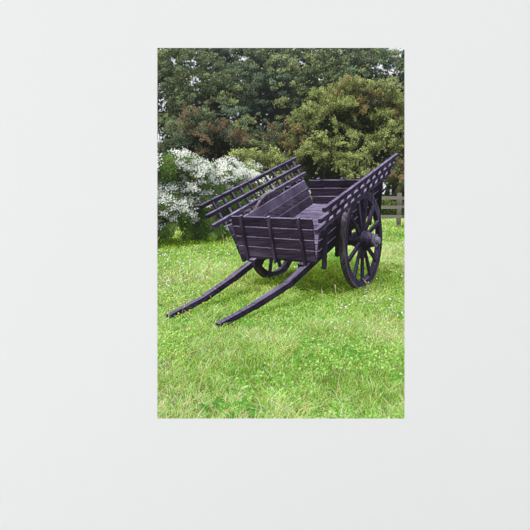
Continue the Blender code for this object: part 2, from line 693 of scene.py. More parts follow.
@dataclass
class Woodland(Thing):
    """The wood behind the meadow."""

    seed: int = 23
    trees: tuple[Tree, ...] = (
        Tree(-5.6, 34, 5.2, (3.4, 2.6, 4.6), 60, Leafage.DARK),
        Tree(-1.2, 37, 6.4, (3.6, 2.6, 5.6), 66, Leafage.BLUE),
        Tree(3.4, 35, 5.6, (3.2, 2.6, 5.0), 56, Leafage.DARK),
        Tree(7.2, 33, 5.4, (3.4, 2.6, 5.0), 56, Leafage.BLUE),
        Tree(1.2, 43, 8.5, (4.2, 3.0, 5.6), 50, Leafage.DARK),
        Tree(-8.5, 40, 7.0, (4.0, 3.0, 5.6), 50, Leafage.DARK),
        Tree(9.5, 42, 8.0, (4.2, 3.0, 6.0), 50, Leafage.DARK),
        Tree(-5.2, 45, 10.4, (4.6, 2.4, 5.4), 56, Leafage.BLUE),
        Tree(-1.4, 46, 12.0, (4.4, 2.4, 5.0), 50, Leafage.DARK),
        Tree(6.0, 45, 10.8, (3.8, 2.4, 4.6), 46, Leafage.DARK),
        Tree(-10.2, 46, 11.4, (4.4, 2.4, 5.2), 50, Leafage.DARK),
        Tree(3.6, 25.5, 3.0, (3.3, 2.0, 3.5), 84, Leafage.OLIVE),
        Tree(0.1, 27, 2.0, (1.9, 1.5, 2.3), 34, Leafage.DARK),
        Tree(6.9, 24, 1.6, (1.6, 1.5, 1.9), 26, Leafage.DARK),
        Tree(-3.9, 26, 2.2, (2.6, 1.6, 2.9), 44, Leafage.BLUE),
        Tree(-1.6, 24.5, 1.3, (1.5, 1.2, 1.5), 22, Leafage.OLIVE),
    )
    twigs: Twigs = Twigs()
    far_leaves: Foliage = Foliage(0.085, 0.8, 0.85, 0.62)
    heart_leaves: Foliage = Foliage(0.13, 0.42, 0.6)
    scrub_leaves: Foliage = Foliage(0.05, 0.7, 0.35)
    scrub_tones: tuple[RGB, RGB] = ((66, 88, 44), (110, 132, 60))
    bark: RGB = (84, 78, 66)
    clumps: int = 120  # of scrub
    lobe_sprays: int = 9
    spray_twigs: int = 4
    limbs: int = 7
    rusty: float = 0.12  # the share of a near tree's lobes that have turned
    pallid: float = 0.20  # the share of any tree's lobes that are paler

    def build(self) -> None:
        """Add the trees and the scrub at their feet."""
        for tree in self.trees:
            self._crown(tree)
            self._limbs(tree)
        rng, count = self.rng, self.clumps
        radii = 0.25 + 0.4 * rng.random(count)
        middles = points_at((rng.random(count) * 2 - 1) * 8, 21.5 + 3.5 * rng.random(count),
                            radii * 0.6 + 0.35 * rng.random(count))
        tones = blend(*tone(self.scrub_tones), rng.random(count)) * 0.95
        self.scrub_leaves.add_to(self.shapes, rng, middles, radii, tones)

    def _crown(self, tree: Tree) -> None:
        """Add a crown of lobes, each with its sprays, round a dark heart.

        Args:
            tree: The tree.
        """
        rng = self.rng
        middle, reach = np.array([tree.x, tree.depth, tree.middle]), np.array(tree.reach)
        largest = 0.95 if tree.is_near else 1.3
        out = unit(rng.normal(size=(tree.lobes, 3)))
        out[:, 2] = np.where(out[:, 2] < -0.55, -out[:, 2], out[:, 2])
        lobes = middle + out * reach * (0.72 + 0.32 * rng.random(tree.lobes))[:, None]
        sizes = 0.35 + (largest - 0.35) * rng.random(tree.lobes) ** 1.3
        lobe = np.repeat(np.arange(tree.lobes), self.lobe_sprays)
        way = unit(rng.normal(size=(len(lobe), 3)) + out[lobe] * 0.5 + [0, -0.2, 0.2])
        sprays = lobes[lobe] + way * sizes[lobe][:, None] * [1.05, 1.0, 0.85]
        radii = sizes[lobe] * (0.22 + 0.26 * rng.random(len(lobe)))
        base = tone(tree.leafage.value)
        light = (0.72 + 0.55 * rng.random(tree.lobes))[lobe] * (0.85 + 0.3 * rng.random(len(lobe)))
        light *= 1 + 0.2 * np.clip((sprays[:, 2] - tree.middle) / reach[2], -1, 1)
        tones = base * light[:, None]
        hue = rng.random(tree.lobes)[lobe][:, None]
        rust, pale = tone(Leafage.RUST.value), tone(Leafage.PALE.value)
        tones = np.where((hue < self.rusty) & tree.is_near, tones * 0.5 + rust * 0.45, tones)
        tones = np.where(hue > 1 - self.pallid, tones * 0.6 + pale * 0.5, tones)
        if tree.is_near:
            self._feathered(sprays, way, radii, tones)
        else:
            self.far_leaves.add_to(self.shapes, rng, sprays, radii, tones)
        count = int(tree.lobes * 0.8)
        inside = unit(rng.normal(size=(count, 3))) * reach * (0.74 * rng.random((count, 1)) ** 0.5)
        heart = middle + [0, 0.4, 0] + inside
        dark = np.tile(base * 0.45, (count, 1))
        self.heart_leaves.add_to(self.shapes, rng, heart, np.full(count, 0.85), dark)

    def _feathered(self, sprays: Array, ways: Array, radii: Array, tones: Array) -> None:
        """Grow twigs from each spray of a near crown.

        Args:
            sprays: The sprays' middles.
            ways: The way that each spray faces.
            radii: The sprays' sizes.
            tones: The sprays' colours.
        """
        rng, spray = self.rng, np.repeat(np.arange(len(sprays)), self.spray_twigs)
        turns = unit(ways[spray] + rng.normal(0, 0.55, (len(spray), 3)) + [0, -0.1, 0.25])
        roots = sprays[spray] - turns * (radii[spray] * 0.9)[:, None]
        lengths = (radii[spray] * 1.5 + 0.25) * (0.6 + 0.7 * rng.random(len(spray)))
        light = 0.82 + 0.36 * rng.random((len(spray), 1))
        self.twigs.add_to(self.shapes, rng, roots, turns, lengths, tones[spray] * light)

    def _limbs(self, tree: Tree) -> None:
        """Add a tree's larger limbs, which show through its gaps.

        Args:
            tree: The tree.
        """
        rng = self.rng
        for _ in range(self.limbs):
            way = rng.normal(0, 1, 3) * [0.5, 0.3, 0.2] + [0, -0.2, 1.0]
            start = np.array([tree.x + rng.normal(0, 0.25), tree.depth, 0.2])
            end = start + unit(way) * tree.middle * (0.7 + 0.6 * rng.random())
            bow = (start + end) / 2 + rng.normal(0, 0.2, 3)
            wide = 0.06 + 0.10 * rng.random()
            bark = tone(self.bark) * (0.7 + 0.6 * rng.random())
            self.shapes.add(beam(start, bow, wide, wide), bark)
            self.shapes.add(beam(bow, end, wide * 0.6, wide * 0.6), bark)


@dataclass
class BlossomHedge(Thing):
    """A bushy hedge in white blossom, running away from the viewer on the left."""

    seed: int = 37
    start: Pair = (-4.3, 10.2)
    end: Pair = (-0.55, 14.2)
    height: float = 1.75
    half_width: float = 0.55
    clumps: int = 330
    sprays: int = 1080
    petals: int = 52  # to a spray
    spray_size: Point = (0.062, 0.05, 0.036)
    leaves: Foliage = Foliage(0.026, 1.3, 0.6, slim=0.62, odd=(140, 120, 70))
    leaf_tones: tuple[RGB, RGB] = ((72, 102, 46), (138, 164, 94))
    petal_tones: tuple[RGB, RGB] = ((206, 212, 188), (242, 244, 232))
    thin_petal: float = 0.4

    def build(self) -> None:
        """Add the leaves and the blossom."""
        rng, count = self.rng, self.clumps
        along = rng.random(count)
        start, end = np.array(self.start), np.array(self.end)
        across = unit(np.array([end[1] - start[1], start[0] - end[0]]))
        side = (rng.random(count) * 2 - 1) * self.half_width
        none = np.zeros(count)
        top = self.height + 0.28 * smooth_noise(along * 9, none, 71)
        top += 0.12 * smooth_noise(along * 31, none, 72)
        top -= 0.5 * np.clip((along - 0.86) / 0.14, 0, 1)
        z = top * rng.random(count) ** 0.75
        side *= np.sqrt(np.clip(1 - (z / (top * 1.12)) ** 4, 0.05, 1))
        ground = start + (end - start) * along[:, None] + across * side[:, None]
        middles = np.column_stack([ground, np.maximum(z, 0.15)])
        radii = 0.14 + 0.16 * rng.random(count)
        tones = blend(*tone(self.leaf_tones), rng.random(count))
        self.leaves.add_to(self.shapes, rng, middles, radii, tones)
        self._blossom(middles, radii)

    def _blossom(self, middles: Array, radii: Array) -> None:
        """Add frothy sprays on the outer clumps, thickest near the top.

        Args:
            middles: The hedge's clumps.
            radii: The clumps' radii.
        """
        rng = self.rng
        pick = rng.integers(0, len(middles), self.sprays * 5)
        drift = smooth_noise(middles[pick, 0] * 2.3, middles[pick, 2] * 3.0, 77) > 0.40
        likely = np.clip(middles[pick, 2] / 1.5, 0, 1) ** 1.4 * drift
        pick = pick[rng.random(len(pick)) < 0.03 + 0.97 * likely][: self.sprays]
        out = unit(rng.normal(size=(len(pick), 3)) + [0.2, -0.9, 0.65])
        sprays = middles[pick] + out * radii[pick][:, None]
        spray = np.repeat(np.arange(len(sprays)), self.petals)
        place = sprays[spray] + rng.normal(size=(len(spray), 3)) * self.spray_size + out[spray] * 0.04
        facing = unit(out[spray] + rng.normal(0, 0.4, (len(spray), 3)) + [0, -0.3, 0.3])
        colour = blend(*tone(self.petal_tones), rng.random(len(spray)))
        size = 0.012 + 0.011 * rng.random(len(spray))
        self.shapes.add(leaf_cards(rng, place, size, facing, 0.9), colour, self.thin_petal)


@dataclass
class RailFence(Thing):
    """A weathered fence of posts and three rails, across the back of the meadow."""

    seed: int = 41
    spacing: float = 1.55
    start: float = -0.7
    end: float = 7.6
    depth: float = 16.4
    slope: float = 0.10
    rails: tuple[float, ...] = (0.42, 0.74, 1.04)
    post_size: Pair = (0.13, 0.11)
    rail_size: Pair = (0.035, 0.10)
    grey: RGB = (124, 120, 108)

    def build(self) -> None:
        """Add the posts and the rails."""
        rng, grey = self.rng, tone(self.grey)
        places = np.arange(self.start, self.end, self.spacing)
        for x in places:
            y = self.depth + self.slope * x
            lean = rng.normal(0, 0.03, 2)
            top = (x + lean[0], y + lean[1], 1.18 + 0.06 * rng.random())
            post = beam((x, y, 0), top, *self.post_size, (0, 1, 0), 3)
            self.shapes.add(post, grey * (0.85 + 0.3 * rng.random()))
        for z in self.rails:
            for x in places[:-1]:
                y = self.depth + self.slope * x - 0.08
                drop = rng.normal(0, 0.02, 2)
                ends = (x - 0.05, y, z + drop[0]), (x + self.spacing + 0.05, y, z + drop[1])
                self.shapes.add(beam(*ends, *self.rail_size), grey * (0.8 + 0.35 * rng.random()))


@dataclass
class FarmCart(Thing):
    """An old two-wheeled farm cart of tarred boards, tipped forwards onto its shafts."""

    seed: int = 43
    place: Pair = (0.50, 7.15)
    heading: float = math.radians(238)
    wheel_radius: float = 0.66
    track: float = 1.42
    tail: float = -1.05
    head: float = 1.05
    half_width: float = 0.56
    floor: float = 0.80
    plank: float = 0.135
    gap: float = 0.007
    sill: Pair = (0.08, 0.11)  # timbers by their width and depth
    side_stave: Pair = (0.05, 0.045)
    end_stave: Pair = (0.05, 0.035)
    rave: Pair = (0.045, 0.05)
    rung: Pair = (0.028, 0.028)
    spoke: Pair = (0.052, 0.034)
    floor_boards: int = 13
    board_pitch: float = 0.162
    flare: float = 0.10
    shaft_reach: float = 1.62  # the shafts' length in front of the body
    shaft_rise: float = 0.03  # their tips' height above the floor boards
    shaft_rest: float = 0.035  # the tips' height above the ground once the cart is tipped
    spokes: int = 12
    tar: RGB = (67, 58, 75)
    iron: RGB = (96, 88, 92)
    worn: RGB = (158, 150, 172)
    gloss: float = 1.9  # how much of the sky the tar mirrors
    sawn: int = 200  # a part with this many triangles is turned, and has no one grain

    @property
    def tilt(self) -> float:
        """Work out how far the cart tips about its axle.

        Returns:
            The angle that brings the shafts' tips down onto the turf.
        """
        reach, rise = self.head + self.shaft_reach, self.floor + self.shaft_rise - self.wheel_radius
        drop = (self.wheel_radius - self.shaft_rest) / math.hypot(reach, rise)
        return -math.asin(drop) - math.atan2(rise, reach)

    def build(self) -> None:
        """Add the cart: the tipped body with its shafts, and the wheels on their axle."""
        for timber, light in self._body() + self._shafts():
            colour = tone(self.tar) * light * (0.66 + 0.68 * self.rng.random())
            self._put(self._tipped(timber), colour, self.gloss)
        for part, light, colour, sheen in self._running_gear():
            self._put(part, tone(colour) * light * (0.9 + 0.2 * self.rng.random()), sheen)

    def _put(self, part: Array, colour: Array, sheen: float) -> None:
        """Turn a part to the cart's heading, set it in the meadow and add it.

        Args:
            part: Its triangles.
            colour: Its linear colour.
            sheen: How much of the sky it mirrors.
        """
        cos, sin = math.cos(self.heading), math.sin(self.heading)
        x = part[..., 0] * cos - part[..., 1] * sin + self.place[0]
        y = part[..., 0] * sin + part[..., 1] * cos + self.place[1]
        world = points_at(x, y, part[..., 2])
        edges = world[:, 1] - world[:, 0]
        longest = unit(edges[np.argmax((edges**2).sum(1))]) if len(world) < self.sawn else UP
        self.shapes.add(world, colour, 0.0, sheen, longest)

    def _tipped(self, part: Array) -> Array:
        """Tip a part of the body about the axle.

        Args:
            part: Its triangles with the cart level.

        Returns:
            Its triangles as it lies.
        """
        x, z = part[..., 0], part[..., 2] - self.wheel_radius
        cos, sin = math.cos(self.tilt), math.sin(self.tilt)
        return points_at(x * cos - z * sin, part[..., 1], z * cos + x * sin + self.wheel_radius)

    def _body(self) -> list[Timber]:
        """Make the body: sills, floor boards, sides and ends.

        Returns:
            Its timbers.
        """
        tail, head, wide, floor = self.tail, self.head, self.half_width, self.floor
        length, under = head - tail, floor - 0.09
        parts = [(beam((tail - 0.1, y, under), (head + 0.05, y, under), *self.sill, steps=6), 0.8)
                 for y in (-0.36, 0.36)]
        for i in range(self.floor_boards):
            corner = (tail + 0.01 + i * self.board_pitch, -wide, floor - 0.03)
            parts.append((board(corner, (0.145, 0, 0), (0, 2 * wide, 0), (0, 0, 0.03)), 0.95))
        for side in (-1, 1):
            parts += self._side(side, length)
        for x, high in ((tail, 3), (head, 4)):
            for j in range(high):
                reach = wide + 0.01 * j
                corner = (x - 0.012, -reach, floor + 0.005 + j * self.plank)
                plank = board(corner, (0.026, 0, 0), (0, 2 * reach, 0), (0, 0, self.plank - self.gap))
                parts.append((plank, 1.0))
            front = x + math.copysign(0.03, x)
            for y in (-0.42, 0.0, 0.42):
                ends = (front, y, floor - 0.05), (front, y, floor + high * self.plank + 0.02)
                parts.append((beam(*ends, *self.end_stave, (0, 1, 0), 2), 1.05))
        return parts

    def _side(self, side: int, length: float) -> list[Timber]:
        """Make one side: three flared planks, their staves, and the open raves above them.

        Args:
            side: 1 for the left, -1 for the right.
            length: The body's length.

        Returns:
            Its timbers.
        """
        tail, head, floor = self.tail, self.head, self.floor
        lean = self.flare * side
        parts: list[Timber] = []
        for j in range(3):
            corner = (tail, side * self.half_width + lean * j / 3, floor + 0.005 + j * self.plank)
            rise = (0, lean / 3, self.plank - self.gap)
            parts.append((board(corner, (length, 0, 0), (0, 0.024 * side, 0), rise, 8), 1.0 + 0.05 * j))
        foot = side * (self.half_width + 0.035)
        for i in range(6):
            x = tail + 0.10 + i * (length - 0.2) / 5
            low, high = (x, foot, floor - 0.14), (x, foot + lean * 1.05, floor + 0.44)
            parts.append((beam(low, high, *self.side_stave, (1, 0, 0), 2), 1.05))
        edge = side * (self.half_width + 0.03) + lean
        for rise, out in ((0.47, 0.05), (0.60, 0.12), (0.73, 0.19)):
            y, z = edge + side * out, floor + rise
            parts.append((beam((tail - 0.18, y, z), (head + 0.22, y, z), *self.rave, steps=9), 1.12))
        for i in range(11):
            x = tail - 0.05 + i * (length + 0.04) / 10
            low, high = (x, edge + side * 0.03, floor + 0.40), (x, edge + side * 0.20, floor + 0.76)
            parts.append((beam(low, high, *self.rung, (1, 0, 0), 2), 1.1))
        return parts

    def _shafts(self) -> list[Timber]:
        """Make the two shafts, each in three lengths that taper forwards.

        Returns:
            Their timbers.
        """
        parts: list[Timber] = []
        for y in (-0.40, 0.40):
            line = [(self.head - 0.4, y, self.floor - 0.10), (self.head + 0.45, y * 0.98, self.floor - 0.11),
                    (self.head + 1.05, y * 0.86, self.floor - 0.06),
                    (self.head + self.shaft_reach, y * 0.80, self.floor + self.shaft_rise)]
            for start, end, wide in zip(line, line[1:], (0.075, 0.066, 0.056)):
                parts.append((beam(start, end, wide, wide * 1.05, steps=6), 1.0))
        return parts

    def _running_gear(self) -> list[tuple[Array, float, RGB, float]]:
        """Make the axle and both wheels.

        Returns:
            Each part's triangles, lightness, colour and sheen.
        """
        high, reach = self.wheel_radius, self.track / 2
        tar, gloss = self.tar, self.gloss
        parts = [(beam((0, -reach, high), (0, reach, high), 0.11, 0.11), 0.8, tar, gloss)]
        for y in (-0.36, 0.36):
            block = beam((0, y, high), (0, y, self.floor - 0.1), 0.09, 0.16, (0, 1, 0), 1)
            parts.append((block, 0.8, tar, gloss))
        hub = ((-0.17, 0.0), (-0.17, 0.085), (-0.08, 0.115), (0.0, 0.13), (0.08, 0.115), (0.19, 0.08),
               (0.19, 0.0))
        cap = ((0.19, 0.075), (0.20, 0.05), (0.245, 0.045), (0.25, 0.0))
        for side in (-1, 1):
            middle, axis = np.array([0.0, side * reach, high]), np.array([0.0, side, 0.0])
            parts.append((rim(middle, axis, high, 0.075, 0.022), 1.0, self.iron, 0.9))
            parts.append((rim(middle, axis, high - 0.022, 0.066, 0.085), 1.12, tar, gloss))
            parts.append((turned(middle, axis, hub), 1.1, tar, gloss))
            parts.append((rim(middle + axis * 0.185, axis, 0.088, 0.03, 0.02, 24), 1.0, self.worn, 0.8))
            parts.append((turned(middle, axis, cap, 16), 1.0, self.worn, 0.7))
            for i in range(self.spokes):
                turn = i * 2 * np.pi / self.spokes + 0.13
                out = points_at(np.cos(turn), 0, np.sin(turn))
                ends = middle + out * 0.10 + axis * 0.006, middle + out * (high - 0.10) + axis * 0.03
                parts.append((beam(*ends, *self.spoke, axis, 3), 1.08, tar, gloss))
        return parts


# ---- The printed scene: light and picture ----------------------------


@dataclass(frozen=True)
class Sky:
    """A bright, lightly clouded sky with a soft sun high on the left, behind the viewer."""

    seed: int = 3
    parts: int = 22
    sun_parts: int = 7
    sun: Point = (-0.42, -0.52, 0.80)
    sky_light: RGB = (0.86, 0.93, 1.06)
    sun_light: RGB = (1.08, 1.02, 0.90)
    sky_strength: float = 2.1
    sun_strength: float = 0.85
    lowest: float = 0.16  # the rise of the lowest ray
    sun_blur: float = 0.07

    def rays(self) -> list[tuple[Array, Array]]:
        """Spread the sky's rays evenly, and the sun's closely round it.

        Returns:
            The way that each ray comes from, and its light.
        """
        rng = np.random.default_rng(self.seed)
        found: list[tuple[Array, Array]] = []
        for part in range(self.parts):
            z = self.lowest + (1 - self.lowest) * (part + 0.5) / self.parts
            level, turn = math.sqrt(1 - z * z), part * GOLDEN_TURN
            way = np.array([level * math.cos(turn), level * math.sin(turn), z])
            found.append((way, np.array(self.sky_light) * self.sky_strength / self.parts))
        for _ in range(self.sun_parts):
            way = unit(unit(np.array(self.sun)) + rng.normal(0, self.sun_blur, 3))
            found.append((way, np.array(self.sun_light) * self.sun_strength / self.sun_parts))
        return found


@dataclass(frozen=True)
class ShadeBox:
    """A part of the scene whose shading is worked out with one cell size."""

    low: Point
    high: Point
    cell: float
    soft: float  # how far light reaches in past the first leaf


class ShadeMap:
    """How far towards one ray's source the scene's shapes reach, on a grid across that ray."""

    MARGIN = 1.6  # how many cells a shape must stand out by before it shades
    NOTHING = -1e9

    def __init__(self, box: ShadeBox, way: Array, dots: Array) -> None:
        """Mark the grid.

        Args:
            box: The part of the scene.
            way: The way that the ray comes from.
            dots: Points all over the shapes in the box.
        """
        self.box, self.way = box, way
        self.across = unit(np.cross(way, [0.0, 1.0, 0.02]))
        self.along = np.cross(way, self.across)
        ends = np.array([[x, y, z] for x in (box.low[0], box.high[0]) for y in (box.low[1], box.high[1])
                         for z in (box.low[2], box.high[2])])
        wide, long = ends @ self.across, ends @ self.along
        self.start = (wide.min(), long.min())
        self.shape = (int(np.ptp(wide) / box.cell) + 2, int(np.ptp(long) / box.cell) + 2)
        self.level = np.full(self.shape[0] * self.shape[1], self.NOTHING, np.float32)
        np.maximum.at(self.level, self._cells(dots, (0.0, 0.0)), (dots @ way).astype(np.float32))

    def _cells(self, points: Array, nudge: Sequence[float]) -> Array:
        """Find the cells that points lie in.

        Args:
            points: The points.
            nudge: How far the grid is moved each way, in cells.

        Returns:
            Each point's cell.
        """
        sides = zip((self.across, self.along), self.start, self.shape, nudge)
        cells = [np.clip((points @ axis - start) / self.box.cell + shift, 0, size - 1).astype(np.int64)
                 for axis, start, size, shift in sides]
        return cells[0] * self.shape[1] + cells[1]

    def open_share(self, points: Array, nudge: Sequence[float]) -> Array:
        """Return how much of the ray's light reaches each point, from 0 to 1."""
        over = self.level[self._cells(points, nudge)] - points @ self.way - self.MARGIN * self.box.cell
        return np.exp(-np.maximum(over, 0) / self.box.soft)


def dots_over(facets: Facets, box: ShadeBox, rng: Rng, closeness: float = 0.8, most: int = 900) -> Array:
    """Spread points over the shapes in a box, about one to a cell.

    Args:
        facets: The scene's triangles.
        box: The box.
        rng: Source of the points' places.
        closeness: The area that each point stands for, in cells.
        most: The most points for one triangle.

    Returns:
        The points.
    """
    middles = facets.corners.mean(1)
    inside = ((middles > box.low) & (middles < box.high)).all(1)
    corners, areas = facets.corners[inside], facets.areas[inside]
    count = np.clip(np.ceil(areas / (closeness * box.cell**2)), 1, most).astype(int)
    each = np.repeat(np.arange(len(corners)), count)
    share = rng.random((len(each), 2))
    share = np.where(share.sum(1, keepdims=True) > 1, 1 - share, share)
    share = np.where((count[each] == 1)[:, None], 1 / 3, share)
    edges = corners[:, 1:] - corners[:, :1]
    return corners[each, 0] + edges[each, 0] * share[:, :1] + edges[each, 1] * share[:, 1:]


class Rasteriser:
    """Finds the nearest triangle behind each sample of the picture."""

    SIZES = (1, 2, 3, 4, 6, 8, 12, 16, 24, 32, 64, 128, 256, 512)
    BATCH = 3_000_000
    HALF = np.uint64(32)  # a key holds the depth in its high half and the triangle in its low half
    LOW_HALF = np.uint64(0xFFFFFFFF)
    EMPTY = np.uint64(0xFFFFFFFFFFFFFFFF)
    NEAREST = 0.5
    THINNEST = 1e-9

    def __init__(self, view: Viewpoint, corners: Array) -> None:
        """Project the triangles and fill the picture.

        Args:
            view: The viewpoint.
            corners: The scene's triangles.
        """
        self.view = view
        self.keys = np.full(view.columns * view.rows, self.EMPTY, np.uint64)
        self.x, self.y, depth = view.project(corners)
        self.nearness = 1 / depth
        low = np.floor(np.stack([self.x.min(1), self.y.min(1)], 1))
        high = np.floor(np.stack([self.x.max(1), self.y.max(1)], 1))
        seen = (depth.min(1) > self.NEAREST) & (high >= 0).all(1) & (low < [view.columns, view.rows]).all(1)
        size = (high - low).max(1) + 1
        smallest = 0
        for largest in self.SIZES:
            ids = np.nonzero(seen & (size > smallest) & (size <= largest))[0]
            step = max(1, self.BATCH // largest**2)
            for start in range(0, len(ids), step):
                self._fill(ids[start : start + step], low[ids[start : start + step]], largest)
            smallest = largest

    def _fill(self, ids: Array, low: Array, size: int) -> None:
        """Write each triangle into the samples that it covers, where it is nearest.

        Args:
            ids: The triangles' numbers.
            low: The lowest column and row of each.
            size: How many columns and rows are tried from there.
        """
        columns, rows = self.view.columns, self.view.rows
        column = (low[:, :1] + np.arange(size)).astype(np.float32)
        row = (low[:, 1:] + np.arange(size)).astype(np.float32)
        px, py = (column + 0.5)[:, None, :], (row + 0.5)[:, :, None]
        x, y = self.x[ids].astype(np.float32), self.y[ids].astype(np.float32)
        weights: list[Array] = []
        for i, j in ((1, 2), (2, 0), (0, 1)):
            x0, y0, x1, y1 = (value[:, None, None] for value in (x[:, i], y[:, i], x[:, j], y[:, j]))
            weights.append((x1 - x0) * (py - y0) - (y1 - y0) * (px - x0))
        whole = weights[0] + weights[1] + weights[2]
        turn = np.sign(whole)
        covered = np.abs(whole) > self.THINNEST
        for weight in weights:
            covered &= weight * turn >= 0
        covered &= ((column >= 0) & (column < columns))[:, None, :]
        covered &= ((row >= 0) & (row < rows))[:, :, None]
        which, down, over = np.nonzero(covered)
        near = sum(weight[which, down, over] * nearness
                   for weight, nearness in zip(weights, self.nearness[ids[which]].T))
        depth = (whole[which, down, over] / near).astype(np.float32)
        at = row[which, down].astype(np.int64) * columns + column[which, over].astype(np.int64)
        key = (depth.view(np.uint32).astype(np.uint64) << self.HALF) | ids[which].astype(np.uint64)
        np.minimum.at(self.keys, at, key)

    def result(self) -> tuple[Array, Array]:
        """Read the finished picture.

        Returns:
            Each sample's triangle, or -1, and its depth, in rows and columns.
        """
        shape = (self.view.rows, self.view.columns)
        hit = self.keys != self.EMPTY
        facet = np.where(hit, (self.keys & self.LOW_HALF).astype(np.int64), -1)
        depth = (self.keys >> self.HALF).astype(np.uint32).view(np.float32).astype(float)
        return facet.reshape(shape), np.where(hit, depth, np.inf).reshape(shape)


@dataclass(frozen=True)
class CountryPicture:
    """The generic country scene that the film carries."""

    columns: int
    rows: int
    finer: int  # samples to a side that are averaged into one
    near_box: ShadeBox = ShadeBox((-2.6, 2.3, 0.0), (2.6, 8.8, 2.2), 0.011, 0.07)
    far_box: ShadeBox = ShadeBox((-12.0, 7.5, 0.0), (12.0, 47.0, 15.0), 0.07, 0.22)
    overlap: float = 0.3  # how far the near box reaches into the far one's part
    seed: int = 5
    soil_tones: tuple[RGB, RGB] = ((92, 118, 38), (128, 156, 62))
    turf_top: float = 0.16
    turf_light: float = 1.9  # the light on an open blade
    turf_shade: RGB = (-0.12, 0.07, -0.92)  # what shade among the blades adds
    root_light: float = 0.68  # the share of the light that reaches the turf's roots
    root_rise: float = 0.32  # the share that is gained by the time the blades stand clear
    root_height: float = 0.06
    lit_loss: float = 0.4  # the light that a clear leaf loses on its lit side
    shade_gain: float = 0.9  # the light that it gains on its other side
    glossy: float = 0.2  # only the cart has more sheen than this
    gleam_tone: RGB = (0.66, 0.57, 0.90)
    gleam_facing: float = 0.09
    gleam_edge: float = 0.5
    bounce_tone: RGB = (0.16, 0.20, 0.07)  # what the meadow throws up
    bounce_height: float = 1.6
    ambient: float = 0.018
    sky_depth: float = 120.0  # where the line of sight meets nothing nearer, it sees the sky
    sky_tone: RGB = (0.74, 0.79, 0.83)
    haze_tone: RGB = (0.50, 0.56, 0.58)
    haze_start: float = 12.0
    haze_length: float = 900.0
    sharpen: float = 0.8
    sharpen_reach: int = 5  # passes of softening that set how wide the detail is

    def paint(self) -> Array:
        """Build the scene and paint it.

        Returns:
            The picture's linear colours, in rows from the top and columns from the left.
        """
        shapes = Shapes()
        for thing in (Meadow, Woodland, BlossomHedge, RailFence, FarmCart):
            thing(shapes).build()
        facets = shapes.joined()
        LOG.info("printed scene: %d triangles", len(facets.corners))
        view = Viewpoint(self.columns * self.finer, self.rows * self.finer)
        facet, depth = Rasteriser(view, facets.corners).result()
        colours = self._shaded(view, facets, facet.ravel(), depth)
        fine = colours.reshape(self.rows, self.finer, self.columns, self.finer, 3)
        return self._sharpened(fine.mean((1, 3)))

    def _sharpened(self, colours: Array) -> Array:
        """Strengthen the fine detail, as is done to a picture before it is printed.

        Args:
            colours: The picture's linear colours.

        Returns:
            The same picture, crisper.
        """
        level = np.clip(colours, 0, 1.5) ** (1 / 2.2)
        soft = np.pad(level, ((1, 1), (1, 1), (0, 0)), mode="edge")
        for _ in range(self.sharpen_reach):
            for axis in (0, 1):
                soft = 0.5 * soft + 0.25 * (np.roll(soft, 1, axis) + np.roll(soft, -1, axis))
        return np.clip(level + self.sharpen * (level - soft[1:-1, 1:-1]), 0, 1.2) ** 2.2

    def _shaded(self, view: Viewpoint, facets: Facets, facet: Array, depth: Array) -> Array:
        """Colour and light each sample.

        Args:
            view: The viewpoint.
            facets: The scene's triangles.
            facet: Each sample's triangle, or -1.
            depth: Each sample's depth, in rows and columns.

        Returns:
            One linear colour for each sample.
        """
        rng = np.random.default_rng(self.seed)
        ground = view.ground_depth()
        bare = (ground < depth).ravel()
        depth = np.minimum(depth, ground)
        open_sky = depth > self.sky_depth
        points = view.place(np.where(open_sky, self.sky_depth / 2, depth)).reshape(-1, 3)
        normals = np.where(bare[:, None], UP, facets.normals[facet])
        thin, sheen = (np.where(bare, 0, values[facet]) for values in (facets.thin, facets.sheen))
        soil = cloudy_noise(points[:, 0] * 5, points[:, 1] * 3, 91, 3)
        earth = blend(*tone(self.soil_tones), soil)
        colour = np.where(bare[:, None], earth, facets.tones[facet])
        sight = unit(points - [0, 0, view.height])
        normals = normals * -np.where((normals * sight).sum(1) > 0, 1, -1)[:, None]
        turf = (points[:, 2] < self.turf_top) & (sheen < self.glossy)
        normals[turf] = unit(normals[turf] * 0.6 + UP * 0.55)
        light = self._light(facets, points, normals, thin, rng)
        dim = np.clip(1 - light[turf].mean(1, keepdims=True) / self.turf_light, 0, 1)
        light[turf] *= 1 + dim * self.turf_shade
        timber = sheen > self.glossy
        fibre = np.ones(len(points))
        fibre[timber] = self._timber_grain(points[timber], facets.grain[facet[timber]])
        colour *= fibre[:, None]
        mirrored = sight - 2 * (normals * sight).sum(1)[:, None] * normals
        edge_on = (1 - np.clip(-(normals * sight).sum(1), 0, 1)) ** 4
        mirror = self.gleam_facing + self.gleam_edge * edge_on
        gleam = sheen * fibre * mirror * np.clip(mirrored[:, 2] * 0.85 + 0.15, 0, 1) ** 1.2
        gleam *= np.clip(light.mean(1), 0, 1.2)
        lit = colour * light + gleam[:, None] * self.gleam_tone
        rise = np.clip(points[:, 2] / self.root_height, 0, 1)
        lit *= np.where(turf, self.root_light + self.root_rise * rise, 1)[:, None]
        haze = (1 - np.exp(-np.maximum(points[:, 1] - self.haze_start, 0) / self.haze_length))[:, None]
        lit = lit * (1 - haze) + np.array(self.haze_tone) * haze
        lit[open_sky.ravel()] = self.sky_tone
        return lit

